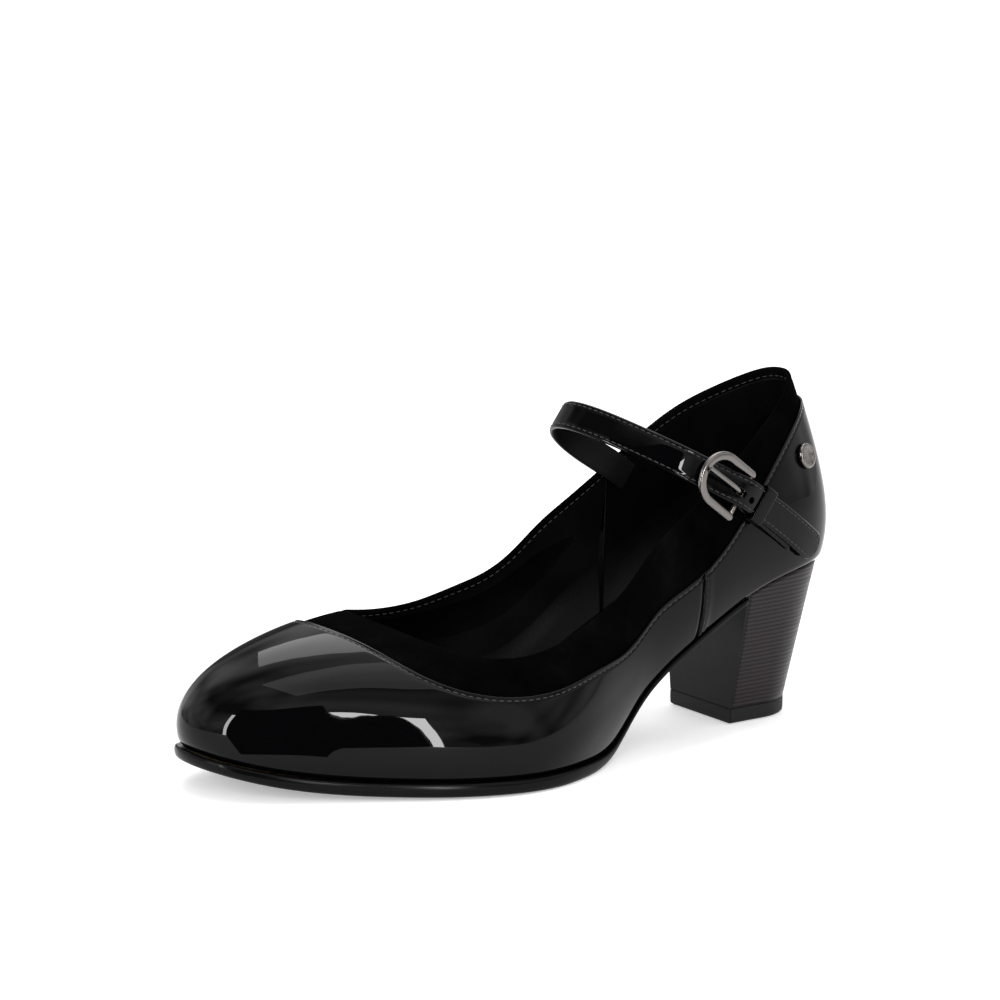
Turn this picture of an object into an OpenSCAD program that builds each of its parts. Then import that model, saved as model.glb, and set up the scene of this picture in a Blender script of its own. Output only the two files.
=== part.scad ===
// Left Mary Jane dress shoe with a block heel, an instep strap and a D buckle.
// Frame: +X to the toe, +Y to the outer side of the foot, +Z up.
// Origin: on the floor, under the middle of the shoe's outline.

/* [Overall] */
// Length over the sole
shoe_length = 246; // [205:1:285]
// Width over the sole at the ball
ball_width = 91; // [80:1:105]
// Height of the upper's seat above the floor, at the back of the heel
seat_height = 56.4; // [48:0.2:68]

/* [Upper] */
// Patent leather
patent_t = 1.1; // [0.8:0.05:1.3]
// Suede collar, and the stiffeners that continue it downwards
collar_t = 0.95; // [0.7:0.05:1.2]
// Lining leather
lining_t = 0.8; // [0.5:0.05:1]
// Glue line between two layers
glue = 0.05; // [0.04:0.01:0.1]

/* [Bottom] */
// Outsole under the ball
sole_t = 4.6; // [3.8:0.1:5.2]
// Outsole in the waist
waist_t = 2; // [1.5:0.1:2.6]
// Outsole edge outside the upper
welt = 1.9; // [1:0.1:2.5]
// Filler and shank layer
filler_t = 1.4; // [1:0.1:1.8]
// Insole board
board_t = 2; // [1.4:0.1:2.6]
// Heel cushion under the sock lining
pad_t = 2; // [1:0.1:3]
// Sock lining
sock_t = 1; // [0.6:0.1:1.6]
// Steel shank width
shank_w = 12; // [8:0.5:16]

/* [Heel] */
// Width of the heel at the floor
heel_w = 34; // [28:0.5:40]
// Length of the heel at the floor
heel_l = 32; // [27:0.5:38]
// Top piece, the part that touches the floor
top_piece_t = 5.4; // [4:0.1:8]
// Stacked-look wrap and breast cover
wrap_t = 0.8; // [0.5:0.05:1.2]
// Steel pins of the top piece
pin_d = 3; // [2:0.1:4]
// Heel screw shank
screw_d = 4; // [3:0.1:5]
// Heel nail shank
nail_d = 1.8; // [1.4:0.1:2.4]

/* [Strap] */
// Strap width
strap_w = 10.4; // [8:0.1:12.5]
// Strap thickness
strap_t = 1.5; // [1.1:0.05:1.6]
// Punched holes
hole_d = 2.4; // [2:0.1:2.8]
// Spacing of the punched holes
hole_pitch = 6.5; // [5:0.5:8]

/* [Buckle] */
// Bar of the buckle
bar_d = 1.8; // [1.4:0.1:2.2]
// Running clearance round the bar
bar_play = 0.05; // [0.03:0.01:0.08]
// Space between the strap's edge and the frame's arm
frame_side_gap = 1.4; // [1:0.1:2]
// Reach from the bar to the middle of the arc
frame_reach = 18.6; // [17.8:0.1:20]
// Chape leather
chape_t = 0.9; // [0.7:0.05:1]
// Chape width
chape_w = 9.6; // [8:0.1:10]
// Keeper loop, along the strap
keeper_l = 5.2; // [4:0.1:6]

/* [Stud] */
// Stud on the counter
stud_d = 9; // [6:0.5:11]
// Stud height
stud_h = 1.8; // [1.2:0.1:2.4]

/* [Hidden] */

// ---- the last: one row of numbers per station round the shoe -------------------------------
// Stations run from the back of the heel along the outer side to the toe and back on the inner
// side. Each row holds the feather line x, y; the topline x, y and its height over the bed; three
// pairs of outward bulge and rise that shape the wall; and the collar seam as a share of the wall.
last_length = 246;
last_width = 91;
stations = [
    [2, 0, 11.5, 0, 66.5, 5, 16, 6, 0, 3, 0, 0.84],
    [4.5, 15.5, 14, 9.5, 66, 5, 16, 6, 0, 3, 0, 0.85],
    [18, 25, 27, 19.5, 59.5, 4, 15, 5, 0, 2, 0, 0.84],
    [42, 26, 46, 24.5, 51, 4, 13, 4, 0, 2, 0, 0.7],
    [65, 25.5, 66, 27, 47, 5, 12, 4, 0, 2, 0, 0.46],
    [86, 24.5, 83, 28, 47.5, 5, 12, 4, 0, 2, 0, 0.56],
    [101, 25, 98, 29, 49.5, 5, 13, 4, 0, 2, 0, 0.61],
    [122, 39, 114, 31, 47, 4, 13, 4, 0, 3, 0, 0.68],
    [148, 47.5, 133, 31.5, 37.5, 3, 14, 5, 2, 4, 2, 0.6],
    [177, 36.5, 151, 28, 35.5, 4, 16, 7, 7, 4, 5, 0.59],
    [206, 18, 163, 16.5, 38.5, 5, 18, 8, 12, 2, 8, 0.68],
    [231, 6, 168, 3, 41, 7, 21, 8, 15, 0, 9, 0.75],
    [243.5, -14, 172.5, -12, 43.5, 8, 22, 8, 16, 0, 9, 0.77],
    [236.5, -33, 178, -29, 46, 7, 21, 8, 15, 0, 8, 0.75],
    [211, -40.5, 166, -34, 42, 4, 18, 6, 12, 2, 6, 0.66],
    [182, -39, 146, -31.5, 43, 3, 15, 6, 5, 3, 3, 0.6],
    [154, -35, 128, -30, 50, 3, 14, 5, 2, 3, 0, 0.62],
    [126, -26, 108, -28, 52, 4, 13, 4, 0, 3, 0, 0.66],
    [99, -21, 88, -27.5, 49.5, 5, 12, 4, 0, 2, 0, 0.6],
    [70, -22, 66, -26.5, 54.5, 5, 12, 4, 0, 2, 0, 0.46],
    [42, -25.5, 46, -24.5, 58, 4, 13, 4, 0, 2, 0, 0.7],
    [17.5, -24.5, 27.5, -20, 61, 4, 15, 5, 0, 2, 0, 0.84],
    [4, -14.5, 14, -10, 66, 5, 16, 6, 0, 3, 0, 0.85]
];
turns = len(stations);
// Bed heights along the outer edge, one every bed_step of length: seat, waist, ball, toe spring
bed_step = 10;
bed_heights = [56.4, 55.6, 54.4, 52.6, 50, 46, 40.6, 34.6, 28.4, 20.6, 9, 4.2, 3.9, 4.3, 4.6, 4.8,
    5, 5.1, 5.3, 5.7, 6.2, 7.2, 8.7, 10.9, 13.6, 17];
ball_level = 4.6;
// The waist rises towards the inner side, between these lengths
arch_from = 50;
arch_to = 190;
arch_skew = 0.2;
arch_edge = 25;

size_x = shoe_length / last_length;
size_y = ball_width / last_width;
heel_gain = (seat_height - ball_level) / (bed_heights[0] - ball_level);
// The outline's middle, which the origin lies under
middle_x = 120.6;
middle_y = 1.9;

function weights(t) = [pow(1 - t, 3), 3 * pow(t, 3) - 6 * t * t + 4,
    -3 * pow(t, 3) + 3 * t * t + 3 * t + 1, pow(t, 3)] / 6;
function wrap_at(list, i) = list[((i % len(list)) + len(list)) % len(list)];
function clamp_at(list, i) = list[max(0, min(len(list) - 1, i))];
// Smooth closed and open curves through the control rows
function round_curve(rows, u) = let (i = floor(u), w = weights(u - i))
    w[0] * wrap_at(rows, i - 1) + w[1] * wrap_at(rows, i)
    + w[2] * wrap_at(rows, i + 1) + w[3] * wrap_at(rows, i + 2);
function open_curve(rows, u) = let (i = floor(u), w = weights(u - i))
    w[0] * clamp_at(rows, i - 1) + w[1] * clamp_at(rows, i)
    + w[2] * clamp_at(rows, i + 1) + w[3] * clamp_at(rows, i + 2);
function unit(v) = v / norm(v);
function mix(a, b, t) = a + (b - a) * t;
function ease(t) = let (s = max(0, min(1, t))) s * s * (3 - 2 * s);

// Height of the bed, the face between the upper and the sole, in last coordinates
function last_bed(x, y) = let (
    skew = x > arch_from && x < arch_to
        ? arch_skew * pow(sin(180 * (x - arch_from) / (arch_to - arch_from)), 2) : 0,
    h = open_curve(bed_heights, max(0, x + skew * (y - arch_edge)) / bed_step))
    ball_level + (h - ball_level) * (h > ball_level + 8 ? heel_gain
        : mix(1, heel_gain, ease((h - ball_level) / 8)));
// Part coordinates from last coordinates, and the bed there
function place(x, y, z) = [(x - middle_x) * size_x, (y - middle_y) * size_y, z];
function bed(x, y) = last_bed(x / size_x + middle_x, y / size_y + middle_y);
function on_bed(p, lift) = [p[0], p[1], bed(p[0], p[1]) + lift];

// Feather line: its plan point at u moved d outwards
function plan_raw(u) = let (r = round_curve(stations, u)) place(r[0], r[1], 0);
function plan_out(u) = let (d = plan_raw(u + 0.002) - plan_raw(u - 0.002)) unit([-d[1], d[0], 0]);
function plan(u, d) = let (p = plan_raw(u), n = plan_out(u)) [p[0] + d * n[0], p[1] + d * n[1]];

// Outer skin of the upper: u round the shoe, v from the feather line (0) to the topline (1)
function skin(u, v) = let (
    r = round_curve(stations, u), n = plan_out(u), w = 1 - v,
    f = place(r[0], r[1], last_bed(r[0], r[1])),
    t = place(r[2], r[3], last_bed(r[2], r[3]) + r[4]),
    a = f + n * r[5] + [0, 0, r[6]],
    b = mix(f, t, 0.45) + n * r[7] + [0, 0, r[8]],
    c = mix(f, t, 0.78) + n * r[9] + [0, 0, r[10]])
    pow(w, 4) * f + 4 * pow(w, 3) * v * a + 6 * w * w * v * v * b + 4 * w * pow(v, 3) * c
    + pow(v, 4) * t;
function skin_normal(u, v) = let (e = 0.004)
    unit(cross(skin(u, v + e) - skin(u, v - e), skin(u + e, v) - skin(u - e, v)));
function inside(u, v, depth) = skin(u, v) - depth * skin_normal(u, v);

// Rows of the wall: low_rows from the feather to the collar seam, then high_rows to the topline
low_rows = 7;
high_rows = 4;
all_rows = low_rows + high_rows;
lap_row = low_rows - 1;
foot_gap = 0.006;
u_step = 0.25;
function seam(u) = round_curve(stations, u)[11];
function row_v(u, j) = let (s = seam(u))
    j <= low_rows ? mix(foot_gap, s, j / low_rows) : mix(s, 1, (j - low_rows) / high_rows);
function u_list(a, b) = concat([a],
    [for (k = [ceil(a / u_step + 0.2) : floor(b / u_step - 0.2)]) k * u_step], [b]);
u_round = [for (k = [0 : turns / u_step - 1]) k * u_step];

// Layers, as depths under the skin
depth_b = patent_t + glue;
depth_a = depth_b + collar_t + glue;
wall_t = depth_a + lining_t;
board_inset = wall_t + 0.5;

// A closed sheet from a grid of outer points and a grid of inner points
module sheet(outer, inner, closed = false) {
    m = len(outer);
    n = len(outer[0]);
    last_i = closed ? m - 1 : m - 2;
    function o(i, j) = (i % m) * n + j;
    function q(i, j) = m * n + (i % m) * n + j;
    cells = [for (i = [0 : last_i]) for (j = [0 : n - 2]) each [
        [o(i, j), o(i + 1, j), o(i + 1, j + 1)], [o(i, j), o(i + 1, j + 1), o(i, j + 1)],
        [q(i, j), q(i + 1, j + 1), q(i + 1, j)], [q(i, j), q(i, j + 1), q(i + 1, j + 1)]]];
    rims = [for (i = [0 : last_i]) each [
        [o(i + 1, 0), o(i, 0), q(i, 0)], [o(i + 1, 0), q(i, 0), q(i + 1, 0)],
        [o(i, n - 1), o(i + 1, n - 1), q(i + 1, n - 1)], [o(i, n - 1), q(i + 1, n - 1), q(i, n - 1)]]];
    ends = closed ? [] : [for (j = [0 : n - 2]) each [
        [o(0, j), o(0, j + 1), q(0, j + 1)], [o(0, j), q(0, j + 1), q(0, j)],
        [o(m - 1, j + 1), o(m - 1, j), q(m - 1, j)],
        [o(m - 1, j + 1), q(m - 1, j), q(m - 1, j + 1)]]];
    polyhedron(points = concat([for (r = outer) each r], [for (r = inner) each r]),
        faces = concat(cells, rims, ends));
}

// One layer of the wall, over rows j0 to j1 and the stations in us
module wall_layer(us, j0, j1, depth, thick, closed = false, trim_top = 0) {
    function v_at(u, j) = row_v(u, j) - (j == j1 ? trim_top : 0);
    sheet([for (u = us) [for (j = [j0 : j1]) inside(u, v_at(u, j), depth)]],
        [for (u = us) [for (j = [j0 : j1]) inside(u, v_at(u, j), depth + thick)]], closed);
}

// A solid between levels. A level is [left plan points, right plan points, height function];
// the first is the top cap and the last the bottom cap, each with span strips from left to right.
module slab(levels, span = 4) {
    m = len(levels[0][0]);
    function grid(l) = [for (i = [0 : m - 1]) for (k = [0 : span])
        let (p = mix(l[0][i], l[1][i], k / span)) [p[0], p[1], l[2](p[0], p[1])]];
    rim = concat([for (i = [0 : m - 1]) i * (span + 1)],
        [for (k = [1 : 1 : span - 1]) (m - 1) * (span + 1) + k],
        [for (i = [m - 1 : -1 : 0]) i * (span + 1) + span],
        [for (k = [span - 1 : -1 : 1]) k]);
    g = m * (span + 1);
    r = len(rim);
    n = len(levels);
    grids = [for (l = levels) grid(l)];
    middle = [for (l = [1 : 1 : n - 2]) each [for (s = rim) grids[l][s]]];
    function ring(l, s) = l == 0 ? rim[s % r] : l == n - 1 ? g + rim[s % r]
        : 2 * g + (l - 1) * r + (s % r);
    function c(i, k) = i * (span + 1) + k;
    caps = [for (i = [0 : m - 2]) for (k = [0 : span - 1]) each [
        [c(i, k), c(i + 1, k), c(i + 1, k + 1)], [c(i, k), c(i + 1, k + 1), c(i, k + 1)],
        [g + c(i, k), g + c(i + 1, k + 1), g + c(i + 1, k)],
        [g + c(i, k), g + c(i, k + 1), g + c(i + 1, k + 1)]]];
    sides = [for (l = [0 : n - 2]) for (s = [0 : r - 1]) each [
        [ring(l, s + 1), ring(l, s), ring(l + 1, s)],
        [ring(l, s + 1), ring(l + 1, s), ring(l + 1, s + 1)]]];
    polyhedron(points = concat(grids[0], grids[n - 1], middle), faces = concat(caps, sides));
}

// A level whose sides follow the feather line, d outwards, between stations a and b of each side
function edge_level(us, us_in, d, height) =
    [[for (u = us) plan(u, d)], [for (u = us_in) plan(u, d)], height];
half = turns / 2;
// Full-length slabs stop just short of the toe's and heel's middle points
end_u = 0.1;
full_us = u_list(end_u, half - end_u);
full_in = [for (u = full_us) turns - u];

// ---- bottom ---------------------------------------------------------------------------------
joint_gap = 0.2;
filler_lift = joint_gap;
board_lift = filler_lift + filler_t + joint_gap;
pad_lift = board_lift + board_t + joint_gap;
sock_lift = pad_lift;
// Heel seat: the outer and inner stations where the breast of the heel meets the feather line
breast_u = 3.16;
breast_in_u = 3.11;
sole_u = breast_u + 0.1;
pad_u = 3.9;
filler_u = 7;

function sole_thick(x) = let (lx = x / size_x + middle_x)
    waist_t + (sole_t - waist_t) * ease((lx - 96) / 34) - 0.5 * ease((lx - 200) / 45);
function sole_under(x, y) = max(0, bed(x, y) - sole_thick(x));
function sole_between(share) = function (x, y) mix(bed(x, y), sole_under(x, y), share);
function sole_out(us, us_in, d, share) = let (
    reach = function (u) d * mix(0.45, 1, ease((plan_raw(u)[0] / size_x + middle_x - 90) / 35)))
    [[for (u = us) plan(u, reach(u))], [for (u = us_in) plan(u, reach(u))], sole_between(share)];

module outsole() {
    us = u_list(sole_u, half - end_u);
    us_in = [for (u = us) turns - u];
    color([0.05, 0.05, 0.055]) slab([
        sole_out(us, us_in, welt - 0.45, 0),
        sole_out(us, us_in, welt, 0.18),
        sole_out(us, us_in, welt, 0.55),
        sole_out(us, us_in, welt - 0.5, 0.86),
        sole_out(us, us_in, welt - 1.4, 1)]);
}

module bottom_filler() {
    us = u_list(filler_u, half - end_u);
    us_in = [for (u = us) turns - u];
    color([0.62, 0.45, 0.28]) slab([
        edge_level(us, us_in, -board_inset - 0.4, function (x, y) bed(x, y) + filler_lift + filler_t),
        edge_level(us, us_in, -board_inset - 0.4, function (x, y) bed(x, y) + filler_lift)]);
}

// The shank's ends, as stations of the outer side
shank_from = 2.6;
shank_to = 6.75;
module shank() {
    us = u_list(shank_from, shank_to);
    function on_line(u, side) = let (a = plan(u, 0), b = plan(turns - u, 0))
        (a + b) / 2 + side * shank_w / 2 * unit(a - b);
    left = [for (u = us) on_line(u, 1)];
    right = [for (u = us) on_line(u, -1)];
    color([0.6, 0.62, 0.65]) slab([
        [left, right, function (x, y) bed(x, y) + filler_lift + filler_t - 0.1],
        [left, right, function (x, y) bed(x, y) + filler_lift + 0.1]], 1);
}

heel_y = -2.9 * size_y;
// Fasteners of the heel, in last coordinates
screw_at = place(25, -0.5, 0);
nail_spots = [for (p = [[13, 11], [13, -12], [38, 14], [38, -15]]) place(p[0], p[1], 0)];
pin_spots = [for (s = [-1, 1]) [place(30, 0, 0)[0], heel_y + s * heel_w / 5]];
head_room = 0.1;
screw_head_d = 7;
nail_head_d = 3.4;
fit_gap = 0.05;

module insole_board() {
    color([0.55, 0.4, 0.26]) difference() {
        slab([
            edge_level(full_us, full_in, -board_inset, function (x, y) bed(x, y) + board_lift + board_t),
            edge_level(full_us, full_in, -board_inset, function (x, y) bed(x, y) + board_lift)]);
        drill(screw_at, screw_head_d + 2 * head_room);
        for (p = nail_spots) drill(p, nail_head_d + 2 * head_room);
    }
}
module drill(p, d) {
    translate([p[0], p[1], bed(p[0], p[1]) - 3]) cylinder(d = d, h = 12, $fn = 40);
}

module heel_pad() {
    us = u_list(end_u, pad_u);
    us_in = [for (u = us) turns - u];
    color([0.75, 0.74, 0.7]) slab([
        edge_level(us, us_in, -board_inset - 3, function (x, y) bed(x, y) + pad_lift + pad_t * pad_ease(x)),
        edge_level(us, us_in, -board_inset - 3, function (x, y) bed(x, y) + pad_lift)]);
}
// The cushion thins out towards the waist, and the sock lining follows it
pad_full_x = 48;
pad_end_x = 66;
pad_edge_share = 0.25;
function pad_ease(x) = mix(1, pad_edge_share, ease((x / size_x + middle_x - pad_full_x)
    / (pad_end_x - pad_full_x)));
function sock_rise(x) = let (lx = x / size_x + middle_x)
    (pad_t * pad_ease(x) + joint_gap) * (1 - ease((lx - pad_end_x - 2) / 14));

module sock_lining() {
    color([0.03, 0.03, 0.032]) slab([
        edge_level(full_us, full_in, -board_inset,
            function (x, y) bed(x, y) + sock_lift + sock_rise(x) + sock_t),
        edge_level(full_us, full_in, -board_inset,
            function (x, y) bed(x, y) + sock_lift + sock_rise(x))]);
}

// ---- heel -----------------------------------------------------------------------------------
heel_front_x = place(46, 0, 0)[0];
heel_r = heel_w / 2;
heel_mid_x = heel_front_x - heel_l + heel_r;
heel_inset = 1.3;
heel_foot = top_piece_t + 0.1;
bend_share = 0.7;
// Outline of the heel at the floor, side = 1 outer or -1 inner, s from the back (0) to the breast
function heel_foot_at(s, side, inset) = let (r = heel_r - inset)
    s < bend_share
    ? [heel_mid_x - r * cos(90 * s / bend_share), heel_y + side * r * sin(90 * s / bend_share)]
    : [mix(heel_mid_x, heel_front_x, (s - bend_share) / (1 - bend_share)), heel_y + side * r];
function heel_head_at(s, side, inset) =
    plan(side * s * (side > 0 ? breast_u : breast_in_u), -heel_inset - inset);
heel_steps = 16;
heel_s = [for (k = [0 : heel_steps]) mix(0.03, 1, k / heel_steps)];
function heel_level(fn, inset, height) = [[for (s = heel_s) fn(s, 1, inset)],
    [for (s = heel_s) fn(s, -1, inset)], height];
function seat_under(x, y) = bed(x, y) - joint_gap;
function foot_level(x, y) = heel_foot;
core_inset = wrap_t + glue;

module heel_block() {
    color([0.2, 0.19, 0.18]) difference() {
        slab([
            heel_level(function (s, side, i) heel_head_at(s, side, i), core_inset,
                function (x, y) seat_under(x, y)),
            heel_level(function (s, side, i) heel_foot_at(s, side, i), core_inset,
                function (x, y) foot_level(x, y))]);
        translate([screw_at[0], screw_at[1], screw_low - 1])
            cylinder(d = screw_d + 2 * fit_gap, h = 60, $fn = 40);
        for (p = nail_spots) translate([p[0], p[1], nail_low(p) - 1])
            cylinder(d = nail_d + 2 * fit_gap, h = 60, $fn = 32);
        for (p = pin_spots) translate([p[0], p[1], -1])
            cylinder(d = pin_d + 2 * fit_gap, h = pin_top + 1.5, $fn = 32);
    }
}
screw_length = 30;
nail_length = 17;
screw_low = bed(screw_at[0], screw_at[1]) - screw_length;
function nail_low(p) = bed(p[0], p[1]) - nail_length;
pin_low = 1.6;
pin_top = top_piece_t + 11;

module heel_wrap() {
    n = 2 * heel_steps + 1;
    ss = concat([for (k = [heel_steps : -1 : 0]) [heel_s[k], 1]], [for (k = [0 : heel_steps]) [heel_s[k], -1]]);
    function post(s, inset) = let (
        h = heel_head_at(s[0], s[1], inset), f = heel_foot_at(s[0], s[1], inset))
        [[f[0], f[1], heel_foot], [h[0], h[1], seat_under(h[0], h[1])]];
    color([0.16, 0.12, 0.12]) sheet([for (k = [len(ss) - 1 : -1 : 0]) post(ss[k], 0)],
        [for (k = [len(ss) - 1 : -1 : 0]) post(ss[k], wrap_t)]);
}

module breast_cover() {
    head = [for (s = [1, -1]) heel_head_at(1, s, core_inset) + [0, s * core_inset]];
    foot = [for (s = [1, -1]) heel_foot_at(1, s, core_inset) + [0, s * core_inset]];
    function plate(c, height) = [[for (d = [glue, glue + wrap_t]) c[0] + [d, 0]],
        [for (d = [glue, glue + wrap_t]) c[1] + [d, 0]], height];
    color([0.07, 0.07, 0.075]) slab([plate(head, function (x, y) seat_under(x, y)),
        plate(foot, function (x, y) foot_level(x, y))]);
}

module top_piece() {
    color([0.045, 0.045, 0.045]) difference() {
        linear_extrude(top_piece_t) union() {
            translate([heel_mid_x, heel_y]) circle(r = heel_r, $fn = 72);
            translate([heel_mid_x, heel_y - heel_r]) square([heel_front_x - heel_mid_x + glue + wrap_t, heel_w]);
        }
        for (p = pin_spots) translate([p[0], p[1], pin_low - 0.1])
            cylinder(d = pin_d + 2 * fit_gap, h = top_piece_t, $fn = 32);
    }
}

module top_piece_pins() {
    color([0.6, 0.6, 0.62]) for (p = pin_spots) translate([p[0], p[1], pin_low])
        cylinder(d = pin_d, h = pin_top - pin_low, $fn = 32);
}

module headed(p, low, shank_d, head_d, head_t) {
    top = bed(p[0], p[1]) + joint_gap + 0.5;
    translate([p[0], p[1], low]) cylinder(d = shank_d, h = top - low, $fn = 32);
    translate([p[0], p[1], top]) cylinder(d = head_d, h = head_t, $fn = 32);
}
module heel_screw() {
    color([0.72, 0.68, 0.5]) headed(screw_at, screw_low, screw_d, screw_head_d, 1.6);
}
module heel_nails() {
    color([0.62, 0.62, 0.64]) for (p = nail_spots) headed(p, nail_low(p), nail_d, nail_head_d, 0.9);
}

// ---- upper ----------------------------------------------------------------------------------
// Side seams: station on the outer side, and the same on the inner side counted backwards
side_u = 4.2;
seam_half = 0.008;
front_us = u_list(side_u + seam_half, turns - side_u - seam_half);
back_us = u_list(-side_u + seam_half, side_u - seam_half);
puff_from = 8.6;
puff_to = 14.9;
counter_u = 4.2;
backer_gap = 0.03;
lap_trim = 0.006;

stud_u = 1.8;
stud_v = 0.646;
post_d = 2.4;
module on_skin(u, v) {
    n = skin_normal(u, v);
    translate(skin(u, v)) rotate([0, acos(n[2]), atan2(n[1], n[0])]) children();
}
module post_hole() {
    on_skin(stud_u, stud_v) translate([0, 0, -wall_t - 1])
        cylinder(d = post_d + 2 * fit_gap, h = wall_t + 3, $fn = 32);
}

module vamp() {
    color([0.03, 0.03, 0.033]) wall_layer(front_us, 0, low_rows, 0, patent_t);
}
module quarter() {
    color([0.035, 0.035, 0.04]) difference() {
        wall_layer(back_us, 0, low_rows, 0, patent_t);
        post_hole();
    }
}
module collar() {
    color([0.09, 0.085, 0.085]) wall_layer(u_round, lap_row, all_rows, depth_b, collar_t, true);
}
module toe_puff() {
    color([0.8, 0.78, 0.7]) wall_layer(u_list(puff_from, puff_to), 0, lap_row, depth_b, collar_t,
        false, lap_trim);
}
module heel_counter() {
    color([0.75, 0.7, 0.6]) difference() {
        wall_layer(u_list(-counter_u, counter_u), 0, lap_row, depth_b, collar_t, false, lap_trim);
        post_hole();
    }
}
module side_backers() {
    color([0.85, 0.83, 0.8]) {
        wall_layer(u_list(counter_u + backer_gap, puff_from - backer_gap), 0, lap_row, depth_b,
            collar_t, false, lap_trim);
        wall_layer(u_list(puff_to + backer_gap, turns - counter_u - backer_gap), 0, lap_row, depth_b,
            collar_t, false, lap_trim);
    }
}
module vamp_lining() {
    color([0.05, 0.05, 0.05]) wall_layer(front_us, 0, all_rows, depth_a, lining_t);
}
module quarter_lining() {
    color([0.06, 0.06, 0.06]) wall_layer(back_us, 0, all_rows, depth_a, lining_t);
}

// ---- strap and buckle -----------------------------------------------------------------------
// The strap lies in planes tilted with the instep. Directions: along p forward and up, q outwards
// (+Y), and c across the strap.
lean = 36;
dir_p = [cos(lean), 0, sin(lean)];
dir_q = [0, 1, 0];
dir_c = [-sin(lean), 0, cos(lean)];
// Where the chape sits on the outer side, and where the strap leaves the inner topline
outer_foot = skin(3.42, 0.8);
inner_foot = skin(18.8, 1);
// Bar of the buckle, and the loop of the chape round it
bar_p = 1.3;
bar_q = 2.85;
bar_bore = bar_d + 2 * bar_play;
loop_r = bar_bore / 2 + chape_t;
// Middle of the strap where it would touch the chape's tab, and where it would touch the loop
on_tab = bar_q + chape_t / 2 + strap_t / 2;
on_loop = bar_q + loop_r + strap_t / 2;
// Centre line of the strap: [share from inner to outer foot, p, q, c], from the tail's tip to the
// end that is stitched inside the inner quarter
strap_line = [
    [1, -44.3, on_tab - 5.15, 1.7], [1, -37.8, on_tab - 3.05, 1.7], [1, -30.8, on_tab - 1.45, 1.6],
    [1, -22.8, on_tab - 0.6, 1.5], [1, -14.8, on_tab - 0.1, 1.4], [1, -6.8, on_tab + 0.1, 1],
    [1, 0.2, on_loop + 0.75, 0.5], [1, 6.7, on_loop - 0.85, -0.4],
    [1, 13.2, 1.3, -1.2], [1, 19.2, -0.1, -2], [0.91, 24.7, 0.1, -2], [0.73, 30.7, 0, -1.4],
    [0.54, 34.6, 0.2, -0.5], [0.35, 37, -0.2, 0.2], [0.18, 35.7, 0, 0.6], [0, 27.7, 1.6, 0.9],
    [0, 19.7, -1.8, 0.2], [0, 11.7, -1, -0.2], [0, 5.2, 2, -0.4], [0, -0.3, 4.6, -0.4],
    [0, -6.3, 4.6, -0.4], [0, -12.3, 4.6, -0.4]
];
strap_ends = len(strap_line) - 1;
strap_xyz = [for (k = strap_line)
    mix(inner_foot, outer_foot, k[0]) + k[1] * dir_p + k[2] * dir_q + k[3] * dir_c];
function strap_mid(t) = open_curve(strap_xyz, t);
function strap_along(t) = unit(strap_mid(t + 0.01) - strap_mid(t - 0.01));
function strap_across(t) = let (a = strap_along(t)) unit(dir_c - (dir_c * a) * a);
function strap_up(t) = cross(strap_across(t), strap_along(t));
bevel = 0.3;
function strap_ring(t, width) = let (w = width / 2, h = strap_t / 2, b = min(bevel, w / 2),
    m = strap_mid(t), a = strap_across(t), n = strap_up(t))
    [for (p = [[w, h - b], [w - b, h], [b - w, h], [-w, h - b], [-w, b - h], [b - w, -h], [w - b, -h], [w, b - h]])
        m + p[0] * a + p[1] * n];

// Sweeps closed rings of eight points into a solid
module sweep(rings) {
    m = len(rings);
    k = len(rings[0]);
    sides = [for (i = [0 : m - 2]) for (j = [0 : k - 1]) let (n = (j + 1) % k) each [
        [i * k + j, i * k + n, (i + 1) * k + n], [i * k + j, (i + 1) * k + n, (i + 1) * k + j]]];
    polyhedron(points = [for (r = rings) each r],
        faces = concat(sides, [[for (j = [k - 1 : -1 : 0]) j]], [[for (j = [0 : k - 1]) (m - 1) * k + j]]));
}

tip_t = 0.35;
tip_length = strap_w / 2;
tip_share = 0.7;
hinge_t = 17.75;
hinge_half = 0.03;
tip_steps = [0.04, 0.12, 0.25, 0.45, 0.7, 1];
// Round tip: the width follows a half circle over tip_share of a control span
function tip_width(s) = strap_w * sqrt(1 - pow(1 - s, 2));
module strap() {
    tip = [for (s = tip_steps) strap_ring(tip_t + s * tip_share, tip_width(s))];
    run_from = tip_t + tip_share;
    n = 56;
    run = [for (k = [1 : n]) strap_ring(mix(run_from, hinge_t - hinge_half, k / n), strap_w)];
    color([0.03, 0.03, 0.03]) difference() {
        sweep(concat(tip, run));
        slot_hole(prong_hole_p - slot_back, prong_hole_p + slot_front);
        for (k = [1 : 2]) slot_hole(prong_hole_p - k * hole_pitch, prong_hole_p - k * hole_pitch);
    }
}
// Hole through the strap over the chape's foot, from p = a to p = b; a slot when they differ
prong_hole_p = 5.2;
slot_back = 2.4;
slot_front = 1.4;
module slot_hole(a, b) {
    at_foot() for (p = [a, (a + b) / 2, b]) translate([p, -1, prong_c])
        rotate([-90, 0, 0]) cylinder(d = hole_d, h = 14, $fn = 24);
}
module strap_anchor() {
    n = 10;
    color([0.03, 0.03, 0.03]) sweep([for (k = [0 : n])
        strap_ring(mix(hinge_t + hinge_half, strap_ends - 0.6, k / n), strap_w)]);
}

// Children drawn in p, q, c about the chape's foot
module at_foot() {
    translate(outer_foot) rotate([0, -lean, 0]) children();
}
// Where the frame, the prong and the chape lie across the strap
frame_c = -0.8;
prong_c = -0.6;
chape_c = -0.1;
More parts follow.
